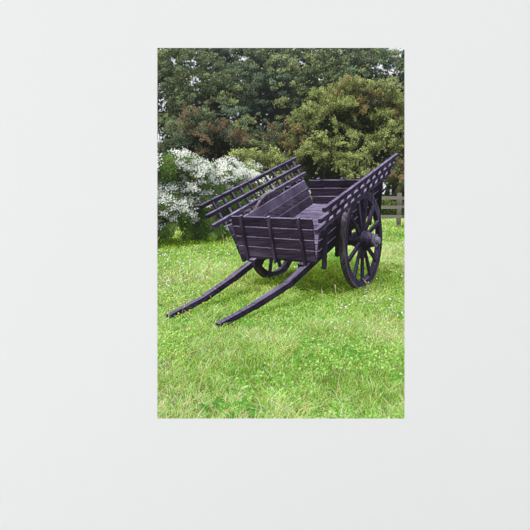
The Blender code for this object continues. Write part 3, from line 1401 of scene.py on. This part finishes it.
    def _light(self, facets: Facets, points: Array, normals: Array, thin: Array, rng: Rng) -> Array:
        """Work out the light that each sample gets from the sky, the sun and the meadow.

        Args:
            facets: The scene's triangles.
            points: The samples' places.
            normals: The samples' normals, turned towards the viewer.
            thin: How much light passes through each.
            rng: Source of the small nudges that hide the shading's grid.

        Returns:
            One linear light colour for each sample.
        """
        light = np.zeros(points.shape)
        near = points[:, 1] < self.near_box.high[1] - self.overlap
        for box, part in ((self.near_box, near), (self.far_box, ~near)):
            dots = dots_over(facets, box, rng)
            place, facing, clear = points[part], normals[part], thin[part]
            total = np.zeros(place.shape)
            for way, ray in Sky().rays():
                open_share = ShadeMap(box, way, dots).open_share(place, rng.random(2) - 0.5)
                slant = facing @ way
                taken = np.maximum(slant, 0) * (1 - clear * self.lit_loss)
                taken += np.maximum(-slant, 0) * clear * self.shade_gain
                total += (taken * open_share)[:, None] * ray
            light[part] = total
        bounce = np.clip(0.5 - 0.5 * normals[:, 2], 0, 1) * np.exp(-points[:, 2] / self.bounce_height)
        return light + bounce[:, None] * self.bounce_tone + self.ambient

    @staticmethod
    def _timber_grain(points: Array, grain: Array) -> Array:
        """Work out how light weathered timber is, by its grain and its stains.

        Args:
            points: Points on it.
            grain: The way the grain runs at each.

        Returns:
            One factor for each point.
        """
        along = (points * grain).sum(1)
        across = ((points - grain * along[:, None]) * [1.0, 0.7, 1.3]).sum(1)
        fibres = cloudy_noise(along * 5, across * 75, 5, 3)
        stains = cloudy_noise(points[:, 0] * 4 + points[:, 1] * 3, points[:, 2] * 4, 8, 3)
        return (0.35 + 1.3 * fibres) * (0.45 + 1.1 * stains)


# ---- The object: node trees and finishes -----------------------------

Socket = bpy.types.NodeSocket
Material = bpy.types.Material
GRAIN_INPUTS = ("Grain per Metre", "Grain", "Clouds per Metre", "Clouds")


class NodeBuilder:
    """Adds nodes to a shader or geometry tree and links them in the same call."""

    def __init__(self, tree: bpy.types.NodeTree) -> None:
        """Start on a tree."""
        self.tree = tree

    def feed(self, target: Socket, value: Any) -> None:
        """Feed one input.

        Args:
            target: The input.
            value: A constant, an output, or a list of outputs where the input takes several.
        """
        sources = value if isinstance(value, list) else [value]
        if not isinstance(sources[0], Socket):
            target.default_value = value
            return
        for source in sources:
            self.tree.links.new(source, target)

    def add(self, kind: str, inputs: dict[int | str, Any] | None = None, **settings: Any) -> bpy.types.Node:
        """Add one node.

        Args:
            kind: Blender's name of the node's type.
            inputs: What feeds each input, by the input's name or number.
            **settings: The node's own options.

        Returns:
            The node.
        """
        node = self.tree.nodes.new(kind)
        for name, value in settings.items():
            setattr(node, name, value)
        for key, value in (inputs or {}).items():
            self.feed(node.inputs[key], value)
        return node

    def first(self, kind: str, inputs: dict[int | str, Any] | None = None, **settings: Any) -> Socket:
        """Add one node as above and return its first output."""
        return self.add(kind, inputs, **settings).outputs[0]

    def maths(self, operation: str, first: Any, second: Any = 0.0) -> Socket:
        """Add a Math node and return its output."""
        return self.first("ShaderNodeMath", {0: first, 1: second}, operation=operation)

    def times(self, vector: Any, factor: Any) -> Socket:
        """Add a node that scales a vector or a colour, and return its output."""
        return self.first("ShaderNodeVectorMath", {0: vector, 3: factor}, operation="SCALE")

    def compare(self, operation: str, first: Any, second: Any, kind: str = "FLOAT") -> Socket:
        """Add a node that compares two numbers of one kind, FLOAT or INT, and return its output."""
        inputs = {0: first, 1: second} if kind == "FLOAT" else {2: first, 3: second}
        return self.first("FunctionNodeCompare", inputs, data_type=kind, operation=operation)

    def socket(self, name: str, kind: str, direction: str = "INPUT") -> str:
        """Add a named input or output to the tree's interface and return its identifier."""
        return self.tree.interface.new_socket(name=name, in_out=direction, socket_type=kind).identifier


@dataclass(frozen=True)
class Grain:
    """How one finish sets the shared grain's inputs: how fine each layer is, and how strong."""

    grain_per_metre: float
    grain: float
    clouds_per_metre: float
    clouds: float


def surface_grain() -> bpy.types.NodeTree:
    """Return the node group for fine grain over soft clouding, which every finish here shares.

    Returns:
        A group that puts out Mottle, about one, and Height, from 0 to 1.
    """
    name, number = "surface_grain", "NodeSocketFloat"
    if name in bpy.data.node_groups:
        return bpy.data.node_groups[name]
    build = NodeBuilder(bpy.data.node_groups.new(name, "ShaderNodeTree"))
    build.socket("Place", "NodeSocketVector")
    for label in GRAIN_INPUTS:
        build.socket(label, number)
    for label in ("Mottle", "Height"):
        build.socket(label, number, "OUTPUT")
    source = build.add("NodeGroupInput").outputs
    changes: list[Socket] = []
    heights: list[Socket] = []
    for label, detail, rough, share in (("Grain", 2.0, 0.6, 0.3), ("Clouds", 3.0, 0.5, 0.7)):
        noise = build.first("ShaderNodeTexNoise", {
            "Vector": source["Place"], "Scale": source[f"{label} per Metre"], "Detail": detail,
            "Roughness": rough})
        changes.append(build.maths("MULTIPLY", build.maths("SUBTRACT", noise, 0.5), source[label]))
        heights.append(build.maths("MULTIPLY", noise, share))
    mottle = build.maths("ADD", 1.0, build.maths("ADD", *changes))
    build.add("NodeGroupOutput", {"Mottle": mottle, "Height": build.maths("ADD", *heights)})
    return build.tree


class Surface:
    """A material under way, with the shared grain placed in it."""

    def __init__(self, name: str, grain: Grain) -> None:
        """Start the material.

        Args:
            name: Its name.
            grain: How it sets the shared grain.
        """
        self.material = bpy.data.materials.new(name)
        self.material.use_nodes = True
        self.build = NodeBuilder(self.material.node_tree)
        self.shader = self.material.node_tree.nodes["Principled BSDF"]
        self.place = self.build.add("ShaderNodeTexCoord").outputs["Object"]
        made = self.build.add("ShaderNodeGroup", {
            "Place": self.place, **dict(zip(GRAIN_INPUTS, astuple(grain)))}, node_tree=surface_grain())
        self.mottle, self.height = made.outputs["Mottle"], made.outputs["Height"]

    def streaks(self, stretch: Point, lean: float, detail: float, rough: float) -> Socket:
        """Add noise that is drawn out one way.

        Args:
            stretch: How many of its steps go into a metre, along X, Y and Z.
            lean: How far it is turned about Y.
            detail: How much finer detail it has.
            rough: How strong that detail is.

        Returns:
            The noise, from 0 to 1.
        """
        drawn = self.build.first("ShaderNodeMapping", {"Vector": self.place, "Scale": stretch,
                                                       "Rotation": (0.0, lean, 0.0)})
        return self.build.first("ShaderNodeTexNoise", {"Vector": drawn, "Scale": 1.0, "Detail": detail,
                                                       "Roughness": rough})

    def finished(self, colour: Any, roughness: Any, specular: float, relief: Pair) -> Material:
        """Mottle the colour, give the surface its relief and end the material.

        Args:
            colour: The colour, as a constant or an output.
            roughness: The roughness, as a constant or an output.
            specular: The specular level.
            relief: The strength and the depth of the grain's relief.

        Returns:
            The material.
        """
        bump = {"Strength": relief[0], "Distance": relief[1], "Height": self.height}
        inputs = {"Base Color": self.build.times(colour, self.mottle), "Roughness": roughness,
                  "Specular IOR Level": specular, "Normal": self.build.first("ShaderNodeBump", bump)}
        for label, value in inputs.items():
            self.build.feed(self.shader.inputs[label], value)
        return self.material


@dataclass(frozen=True)
class PrintedFilm:
    """The film's finish: matt ink that runs off all four edges of a white film."""

    white: RGB = (0.90, 0.91, 0.90)
    roughness: float = 0.62
    streak_roughness: float = 0.10  # what smoothing the film on leaves in it
    streak_stretch: Point = (14.0, 14.0, 1.2)
    specular: float = 0.12
    relief: Pair = (0.35, 0.0004)
    ink_gain: float = 0.96
    ink_base: float = 0.008  # what the film's gleam adds to every ink, taken off before
    ink_least: float = 0.003
    grain: Grain = Grain(850.0, 0.10, 4.0, 0.05)

    def inks(self, colours: Array) -> Array:
        """Return the inks that show the picture's colours once the film's own gleam is added."""
        return np.clip(colours * self.ink_gain - self.ink_base, self.ink_least, 1.0)

    def material(self) -> Material:
        """Make the finish, which reads the print from the film's own attribute.

        Returns:
            The material.
        """
        surface = Surface("printed_film", self.grain)
        build = surface.build
        ink = build.add("ShaderNodeAttribute", attribute_type="GEOMETRY", attribute_name=PRINT_ATTRIBUTE)
        streak = surface.streaks(self.streak_stretch, lean=0.05, detail=2.0, rough=0.5)
        spread = build.maths("MULTIPLY", build.maths("SUBTRACT", streak, 0.5), self.streak_roughness)
        rough = build.maths("ADD", build.maths("MULTIPLY", surface.mottle, self.roughness), spread)
        return surface.finished(ink.outputs["Color"], rough, self.specular, self.relief)


@dataclass(frozen=True)
class Adhesive:
    """The finish of the adhesive: a grey coat that hides the wall, slightly glossy, with smears and dust."""

    clean: tuple[float, float, float, float] = (0.43, 0.44, 0.43, 1.0)
    dusty: tuple[float, float, float, float] = (0.33, 0.33, 0.31, 1.0)
    dust_range: Pair = (0.50, 0.78)  # the smears' levels from clean to dusty
    dust_roughness: float = 0.25
    smear_stretch: Point = (3.0, 3.0, 16.0)
    roughness: float = 0.42
    specular: float = 0.5
    relief: Pair = (0.4, 0.0004)
    grain: Grain = Grain(420.0, 0.12, 7.0, 0.16)

    def material(self) -> Material:
        """Make the finish.

        Returns:
            The material.
        """
        surface = Surface("tacky_adhesive", self.grain)
        build = surface.build
        smear = surface.streaks(self.smear_stretch, lean=0.35, detail=4.0, rough=0.6)
        dust = build.first("ShaderNodeMapRange", {"Value": smear, "From Min": self.dust_range[0],
                                                  "From Max": self.dust_range[1]})
        mixed = build.add("ShaderNodeMix", {"Factor": dust, 6: self.clean, 7: self.dusty}, data_type="RGBA")
        dulled = build.maths("ADD", build.maths("MULTIPLY", dust, self.dust_roughness), self.roughness)
        rough = build.maths("MULTIPLY", surface.mottle, dulled)
        return surface.finished(mixed.outputs[2], rough, self.specular, self.relief)


@dataclass(frozen=True)
class StagePaint:
    """A plain painted surface of the room: a wall, which is clear from behind, or a floor."""

    name: str
    colour: RGB
    roughness: float
    is_clear_behind: bool
    specular: float = 0.2
    relief: Pair = (0.12, 0.0006)
    grain: Grain = Grain(260.0, 0.012, 0.9, 0.012)

    def material(self) -> Material:
        """Make the paint.

        Returns:
            The material.
        """
        surface = Surface(self.name, self.grain)
        material = surface.finished(self.colour, self.roughness, self.specular, self.relief)
        if self.is_clear_behind:
            build = surface.build
            behind = build.add("ShaderNodeNewGeometry").outputs["Backfacing"]
            both = build.first("ShaderNodeMixShader", {0: behind, 1: surface.shader.outputs[0],
                                                       2: build.first("ShaderNodeBsdfTransparent")})
            build.feed(material.node_tree.nodes["Material Output"].inputs["Surface"], both)
        return material


# ---- The object: shapes ----------------------------------------------


@dataclass(frozen=True)
class SheetSize:
    """The sheet's box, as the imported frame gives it."""

    low: Point
    high: Point

    @classmethod
    def from_frame(cls) -> "SheetSize":
        """Read the box of the frame's own solid."""
        low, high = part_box(SHEET_NODE)
        return cls(tuple(float(value) for value in low), tuple(float(value) for value in high))

    @property
    def width(self) -> float:
        """Side along X."""
        return self.high[0] - self.low[0]

    @property
    def height(self) -> float:
        """Side along Z."""
        return self.high[2] - self.low[2]

    @property
    def thickness(self) -> float:
        """Side along Y."""
        return self.high[1] - self.low[1]

    def settle(self, mesh: bpy.types.Mesh, level: float) -> None:
        """Move a mesh made round the origin to the sheet's middle.

        Args:
            mesh: The mesh.
            level: Where its own level goes along Y.
        """
        middle = [(self.high[0] + self.low[0]) / 2, level, (self.high[2] + self.low[2]) / 2]
        mesh.vertices.foreach_set("co", (read_values(mesh.vertices, "co", 3) + middle).ravel())
        mesh.update()

    def shares(self, mesh: bpy.types.Mesh) -> Array:
        """Return each face corner's shares of the way across and up the sheet."""
        corners = read_values(mesh.vertices, "co", 3)[read_values(mesh.loops, "vertex_index")]
        return (corners[:, [0, 2]] - [self.low[0], self.low[2]]) / [self.width, self.height]


class GeometryRecipe:
    """A geometry node tree with named inputs, turned into a plain mesh."""

    def __init__(self, name: str, numbers: dict[str, float | int], finish: Material) -> None:
        """Start the tree.

        Args:
            name: The tree's name.
            numbers: Its numbers, by name.
            finish: What the result is made of.
        """
        self.tree = bpy.data.node_groups.new(name, "GeometryNodeTree")
        self.build = NodeBuilder(self.tree)
        self.values: dict[str, Any] = {}
        for label, value in numbers.items():
            kind = "NodeSocketInt" if isinstance(value, int) else "NodeSocketFloat"
            self.values[self.build.socket(label, kind)] = value
        self.values[self.build.socket("Finish", "NodeSocketMaterial")] = finish
        self.build.socket("Geometry", "NodeSocketGeometry", "OUTPUT")
        self.source = self.build.add("NodeGroupInput").outputs

    def finish(self, geometry: Socket) -> None:
        """Stand the geometry upright, facing along -Y, and end the tree in it, realised and dressed.

        Args:
            geometry: What the tree has made, lying flat.
        """
        upright = self.build.first("GeometryNodeTransform", {"Geometry": geometry,
                                                             "Rotation": (math.pi / 2, 0.0, 0.0)})
        real = self.build.first("GeometryNodeRealizeInstances", {0: upright})
        finish = {"Geometry": real, "Material": self.source["Finish"]}
        self.build.add("NodeGroupOutput", {0: self.build.first("GeometryNodeSetMaterial", finish)})

    def mesh_object(self, name: str) -> bpy.types.Object:
        """Run the tree.

        Args:
            name: The name of the result.

        Returns:
            An object with a plain mesh.
        """
        carrier = bpy.data.objects.new(name, bpy.data.meshes.new(name + "_start"))
        bpy.context.scene.collection.objects.link(carrier)
        modifier = carrier.modifiers.new(self.tree.name, "NODES")
        modifier.node_group = self.tree
        for identifier, value in self.values.items():
            modifier[identifier] = value
        graph = bpy.context.evaluated_depsgraph_get()
        mesh = bpy.data.meshes.new_from_object(carrier.evaluated_get(graph))
        carrier.modifiers.remove(modifier)
        carrier.data = mesh
        mesh.name = name
        return carrier


@dataclass
class FilmSheet:
    """The printed film: one thin sheet with tiny rounded corners, and the picture on its front."""

    size: SheetSize
    back_gap: float = 0.00015  # the adhesive takes up this much of the thickness
    corner_radius: float = 0.002
    weld: float = 2e-6
    front_map: tuple[Pair, Pair] = ((0.006, 0.036), (0.988, 0.958))  # place and span on baked pictures
    back_map: tuple[Pair, Pair] = ((0.005, 0.004), (0.48, 0.02))
    edge_map: tuple[Pair, Pair] = ((0.505, 0.004), (0.48, 0.02))
    columns: int = MESH_COLUMNS
    rows: int = MESH_ROWS
    name: str = "printed_film"

    def build(self, colours: Array) -> bpy.types.Object:
        """Make the film and lay the picture on it.

        Args:
            colours: The picture's linear colours, in rows from the top.

        Returns:
            The film.
        """
        finish = PrintedFilm()
        film = self._recipe(finish.material()).mesh_object(self.name)
        self.size.settle(film.data, self.size.high[1] - self.back_gap)
        self._lay_picture(film.data, finish.inks(colours))
        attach(film, BODY)
        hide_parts(SHEET_NODE)
        LOG.info("%s: %d faces", film.name, len(film.data.polygons))
        return film

    def _recipe(self, finish: Material) -> GeometryRecipe:
        """Cut the sheet: a fine front, its cut edge, and a plain back.

        Args:
            finish: What it is made of.

        Returns:
            The tree that makes it.
        """
        recipe = GeometryRecipe("cut_film_sheet", {
            "Width": self.size.width, "Height": self.size.height,
            "Thickness": self.size.thickness - self.back_gap, "Corner Radius": self.corner_radius,
            "Columns": self.columns, "Rows": self.rows}, finish)
        build, source = recipe.build, recipe.source
        grid = build.first("GeometryNodeMeshGrid", {
            "Size X": source["Width"], "Size Y": source["Height"],
            "Vertices X": build.maths("ADD", source["Columns"], 1.0),
            "Vertices Y": build.maths("ADD", source["Rows"], 1.0)})
        lift = build.first("ShaderNodeCombineXYZ", {"Z": source["Thickness"]})
        drop = build.first("ShaderNodeCombineXYZ", {"Z": build.maths("MULTIPLY", source["Thickness"], -1.0)})
        front = build.first("GeometryNodeTransform", {"Geometry": self._rounded(build, source, grid),
                                                      "Translation": lift})
        edges = build.compare("EQUAL", build.first("GeometryNodeInputMeshEdgeNeighbors"), 1, "INT")
        walled = build.add("GeometryNodeExtrudeMesh", {"Mesh": front, "Selection": edges, "Offset": drop,
                                                       "Offset Scale": 1.0}, mode="EDGES").outputs
        outline = build.first("GeometryNodeSeparateGeometry", {
            "Geometry": walled["Mesh"], "Selection": walled["Top"]}, domain="EDGE")
        curve = build.first("GeometryNodeMeshToCurve", {"Mesh": outline})
        back = build.first("GeometryNodeFillCurve", {"Curve": curve}, mode="TRIANGLES")
        faced = build.first("GeometryNodeFlipFaces", {"Mesh": back})
        joined = build.first("GeometryNodeJoinGeometry", {0: [walled["Mesh"], faced]})
        welded = build.first("GeometryNodeMergeByDistance", {"Geometry": joined, "Distance": self.weld})
        recipe.finish(welded)
        return recipe

    @staticmethod
    def _rounded(build: NodeBuilder, source: Any, grid: Socket) -> Socket:
        """Draw the grid's four outermost points in onto the corner's arc.

        Args:
            build: The tree's builder.
            source: The tree's inputs.
            grid: The flat grid.

        Returns:
            The grid with its corners taken in.
        """
        position = build.first("GeometryNodeInputPosition")
        axes = build.add("ShaderNodeSeparateXYZ", {0: position}).outputs
        out = build.maths("ADD", build.maths("ABSOLUTE", axes["X"]), build.maths("ABSOLUTE", axes["Y"]))
        furthest = build.maths("MULTIPLY", build.maths("ADD", source["Width"], source["Height"]), 0.5)
        is_corner = build.compare("GREATER_THAN", out, build.maths("SUBTRACT", furthest, 1e-4))
        sign = build.first("ShaderNodeVectorMath", {0: position}, operation="SIGN")
        pull = build.maths("MULTIPLY", source["Corner Radius"], math.sqrt(0.5) - 1)
        return build.first("GeometryNodeSetPosition", {"Geometry": grid, "Selection": is_corner,
                                                       "Offset": build.times(sign, pull)})

    def _lay_picture(self, mesh: bpy.types.Mesh, colours: Array) -> None:
        """Give each corner of the front's faces its colour, and lay the front out flat for baking.

        Args:
            mesh: The film's mesh.
            colours: The picture's linear colours.
        """
        sides = read_values(mesh.polygons, "loop_total")
        face = np.repeat(np.arange(len(sides)), sides)
        facing = read_values(mesh.polygons, "normal", 3)[face, 1]
        share = self.size.shares(mesh)
        middle = np.stack([np.bincount(face, share[:, axis]) for axis in (0, 1)], 1) / sides[:, None]
        cells = np.array([self.columns, self.rows])
        cell = np.clip(np.floor(middle[face] * cells), 0, cells - 1)
        at = (cell * 2 + (share > middle[face])).astype(np.int64)
        front, back = facing < -0.5, facing > 0.5
        values = np.ones((len(face), 4), np.float32)
        values[:, :3] = PrintedFilm.white
        values[front, :3] = colours[len(colours) - 1 - at[front, 1], at[front, 0]]
        layer = mesh.color_attributes.new(PRINT_ATTRIBUTE, "FLOAT_COLOR", "CORNER")
        layer.data.foreach_set("color", values.ravel())
        places = self.edge_map[0] + share * self.edge_map[1]
        for part, (place, span) in ((front, self.front_map), (back, self.back_map)):
            places[part] = place + share[part] * span
        write_bake_map(mesh, places)


@dataclass
class AdhesivePads:
    """The adhesive on the film's back: diamonds with air channels between them, cut off at the edges."""

    size: SheetSize
    pitch: float = 0.0198  # from one diamond to the next along a row
    channel: float = 0.0014
    inset: float = 0.001  # the adhesive stops this far from the film's edge
    thickness: float = 0.00015
    map_edge: float = 0.002  # the empty border of the baked pictures
    name: str = "adhesive_pads"

    def build(self) -> bpy.types.Object:
        """Make the pads.

        Returns:
            The pads, as one object.
        """
        pads = self._recipe(Adhesive().material()).mesh_object(self.name)
        self.size.settle(pads.data, self.size.high[1] - self.thickness / 2)
        write_bake_map(pads.data, self.size.shares(pads.data) * (1 - 2 * self.map_edge) + self.map_edge)
        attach(pads, BODY)
        LOG.info("%s: %d faces", pads.name, len(pads.data.polygons))
        return pads

    def _recipe(self, finish: Material) -> GeometryRecipe:
        """Set a diamond on each point of a staggered lattice, and cut off those at the edge.

        Args:
            finish: What they are made of.

        Returns:
            The tree that makes them.
        """
        recipe = GeometryRecipe("diamond_adhesive", {
            "Width": self.size.width - 2 * self.inset, "Height": self.size.height - 2 * self.inset,
            "Pitch": self.pitch, "Channel": self.channel, "Thickness": self.thickness}, finish)
        build, source = recipe.build, recipe.source
        step = build.maths("MULTIPLY", source["Pitch"], 0.5)
        radius = build.maths("SUBTRACT", step, build.maths("MULTIPLY", source["Channel"], math.sqrt(0.5)))
        axes = build.add("ShaderNodeSeparateXYZ", {0: build.first("GeometryNodeInputPosition")}).outputs
        past = [build.maths("SUBTRACT", build.maths("ADD", build.maths("ABSOLUTE", axes[axis]), radius),
                            build.maths("MULTIPLY", source[side], 0.5))
                for axis, side in (("X", "Width"), ("Y", "Height"))]
        is_cut = build.compare("GREATER_THAN", build.maths("MAXIMUM", *past), 0.0)
        is_whole = build.first("FunctionNodeBooleanMath", {0: is_cut}, operation="NOT")
        diamond = build.first("GeometryNodeMeshCylinder", {"Vertices": 4, "Radius": radius,
                                                           "Depth": source["Thickness"]})
        points = self._lattice(build, source, step)
        whole, crossing = (build.first("GeometryNodeInstanceOnPoints", {
            "Points": points, "Selection": chosen, "Instance": diamond}) for chosen in (is_whole, is_cut))
        loose = build.first("GeometryNodeRealizeInstances", {0: crossing})
        block = build.first("GeometryNodeMeshCube", {"Size": build.first("ShaderNodeCombineXYZ", {
            "X": source["Width"], "Y": source["Height"],
            "Z": build.maths("MULTIPLY", source["Thickness"], 3.0)})})
        cut = build.first("GeometryNodeMeshBoolean", {1: [loose, block]}, operation="INTERSECT",
                          solver="MANIFOLD")
        recipe.finish(build.first("GeometryNodeJoinGeometry", {0: [cut, whole]}))
        return recipe

    @staticmethod
    def _lattice(build: NodeBuilder, source: Any, step: Socket) -> Socket:
        """Make the staggered points, which reach a little past the sheet.

        Args:
            build: The tree's builder.
            source: The tree's inputs.
            step: Half of the pitch, which is the distance between rows.

        Returns:
            The points.
        """
        across, up = (
            build.maths("ADD", build.maths("CEIL", build.maths("DIVIDE", source[side], pace)), more)
            for side, pace, more in (("Width", source["Pitch"], 2.0), ("Height", step, 3.0)))
        lattice = build.first("GeometryNodeMeshGrid", {
            "Size X": build.maths("MULTIPLY", build.maths("SUBTRACT", across, 1.0), source["Pitch"]),
            "Size Y": build.maths("MULTIPLY", build.maths("SUBTRACT", up, 1.0), step),
            "Vertices X": across, "Vertices Y": up})
        index = build.first("GeometryNodeInputIndex")
        parity = build.maths("MODULO", build.maths("MODULO", index, up), 2.0)
        stagger = build.maths("MULTIPLY", build.maths("SUBTRACT", parity, 0.5), step)
        return build.first("GeometryNodeSetPosition", {
            "Geometry": lattice, "Offset": build.first("ShaderNodeCombineXYZ", {"X": stagger})})


def read_values(items: Any, name: str, parts: int = 1) -> Array:
    """Read one value of every vertex, corner or face.

    Args:
        items: The vertices, corners or faces.
        name: The value's name.
        parts: 3 for a vector, 1 for a whole number.

    Returns:
        The values, as rows of three or as one list.
    """
    values = np.empty(len(items) * parts, np.int32 if parts == 1 else np.float32)
    items.foreach_get(name, values)
    return values if parts == 1 else values.reshape(-1, parts).astype(float)


def write_bake_map(mesh: bpy.types.Mesh, places: Array) -> None:
    """Store where each face corner lies on the baked pictures."""
    layer = mesh.uv_layers.get(BAKE_MAP) or mesh.uv_layers.new(name=BAKE_MAP)
    layer.data.foreach_set("uv", places.astype(np.float32).ravel())


# ---- The stage -------------------------------------------------------


@dataclass(frozen=True)
class Lamp:
    """A large round lamp, aimed at the mural's middle."""

    name: str
    place: Point
    power: float
    size: float = 1.6

    def light(self) -> None:
        """Hang the lamp in the room."""
        lamp = bpy.data.lights.new(self.name, "AREA")
        lamp.shape = "DISK"
        lamp.size = self.size
        lamp.energy = self.power
        hung = bpy.data.objects.new(self.name, lamp)
        hung.location = self.place
        way = -np.array(self.place)
        hung.rotation_euler = (math.acos(way[2] / np.linalg.norm(way)) + math.pi, 0.0,
                               math.atan2(way[0], -way[1]))
        bpy.context.scene.collection.objects.link(hung)


@dataclass(frozen=True)
class Studio:
    """A pale wall and floor in soft even light, and the camera."""

    wall_gap: float = 0.0003
    lap: float = 0.002  # the mural laps this far over the opening that lets light reach its back
    wall_half_width: float = 4.5
    wall_top: float = 2.6
    floor_level: float = -1.45
    floor_reach: float = 6.0
    wall_paint: StagePaint = StagePaint("wall_paint", (0.830, 0.836, 0.834), 0.75, True)
    floor_paint: StagePaint = StagePaint("floor_paint", (0.90, 0.905, 0.905), 0.6, False)
    sky_colour: RGB = (0.945, 0.95, 0.945)
    sky_strength: float = 1.065
    lamps: tuple[Lamp, ...] = (Lamp("window_light", (-3.0, -2.8, 0.0), 9.5),
                               Lamp("back_light", (1.6, 3.4, 1.6), 6.5))
    camera_place: Point = (-0.059, -2.725, -0.1175)
    lens: float = 50.0
    sensor: float = 36.0

    def build(self, size: SheetSize) -> None:
        """Make the room, its lights and the camera.

        Args:
            size: The sheet's box.
        """
        wall_y = size.high[1] + self.wall_gap
        side, top, floor = self.wall_half_width, self.wall_top, self.floor_level
        low = (size.low[0] + self.lap, size.low[2] + self.lap)
        high = (size.high[0] - self.lap, size.high[2] - self.lap)
        corners = self._upright((-side, floor), (side, top), wall_y) + self._upright(low, high, wall_y)
        strips = [(i, (i + 1) % 4, (i + 1) % 4 + 4, i + 4) for i in range(4)]
        wall = self._panel("studio_wall", corners, strips, self.wall_paint)
        near, far = wall_y - self.floor_reach, wall_y + self.floor_reach
        corners = [(-side, near, floor), (side, near, floor), (side, far, floor), (-side, far, floor)]
        ground = self._panel("studio_floor", corners, [(0, 1, 2, 3)], self.floor_paint)
        self._light()
        self._camera()
        bpy.context.scene.view_settings.view_transform = "Standard"
        LOG.info("studio ready")

    @staticmethod
    def _upright(low: Pair, high: Pair, y: float) -> list[Point]:
        """Return an upright rectangle's corners, anticlockwise as seen from the front."""
        return [(low[0], y, low[1]), (high[0], y, low[1]), (high[0], y, high[1]), (low[0], y, high[1])]

    @staticmethod
    def _panel(name: str, corners: Sequence[Point], faces: Sequence[Sequence[int]],
               paint: StagePaint) -> bpy.types.Object:
        """Make one flat panel of the room.

        Args:
            name: Its name.
            corners: Its corners.
            faces: Its faces, by their corners' numbers.
            paint: Its finish.

        Returns:
            The panel.
        """
        mesh = bpy.data.meshes.new(name)
        mesh.from_pydata(corners, [], faces)
        mesh.materials.append(paint.material())
        panel = bpy.data.objects.new(name, mesh)
        bpy.context.scene.collection.objects.link(panel)
        return panel

    def _light(self) -> None:
        """Light the room from all round, and with one large soft lamp before it and one behind."""
        world = bpy.data.worlds.new("studio_air")
        world.use_nodes = True
        air = world.node_tree.nodes["Background"]
        air.inputs["Color"].default_value = (*self.sky_colour, 1.0)
        air.inputs["Strength"].default_value = self.sky_strength
        bpy.context.scene.world = world
        for lamp in self.lamps:
            lamp.light()

    def _camera(self) -> None:
        """Set the camera square on to the wall."""
        lens = bpy.data.cameras.new("studio_camera")
        lens.lens, lens.sensor_width = self.lens, self.sensor
        camera = bpy.data.objects.new("studio_camera", lens)
        camera.location = self.camera_place
        camera.rotation_euler = (math.pi / 2, 0.0, 0.0)
        bpy.context.scene.collection.objects.link(camera)
        bpy.context.scene.camera = camera


def main() -> None:
    """Build the printed film, its adhesive and the studio, in that order."""
    logging.basicConfig(level=logging.INFO, format="%(name)s: %(message)s")
    size = SheetSize.from_frame()
    finer = 2
    picture = CountryPicture(MESH_COLUMNS * 2, MESH_ROWS * 2, finer)
    FilmSheet(size).build(picture.paint())
    AdhesivePads(size).build()
    Studio().build(size)


if __name__ == "__main__":
    main()
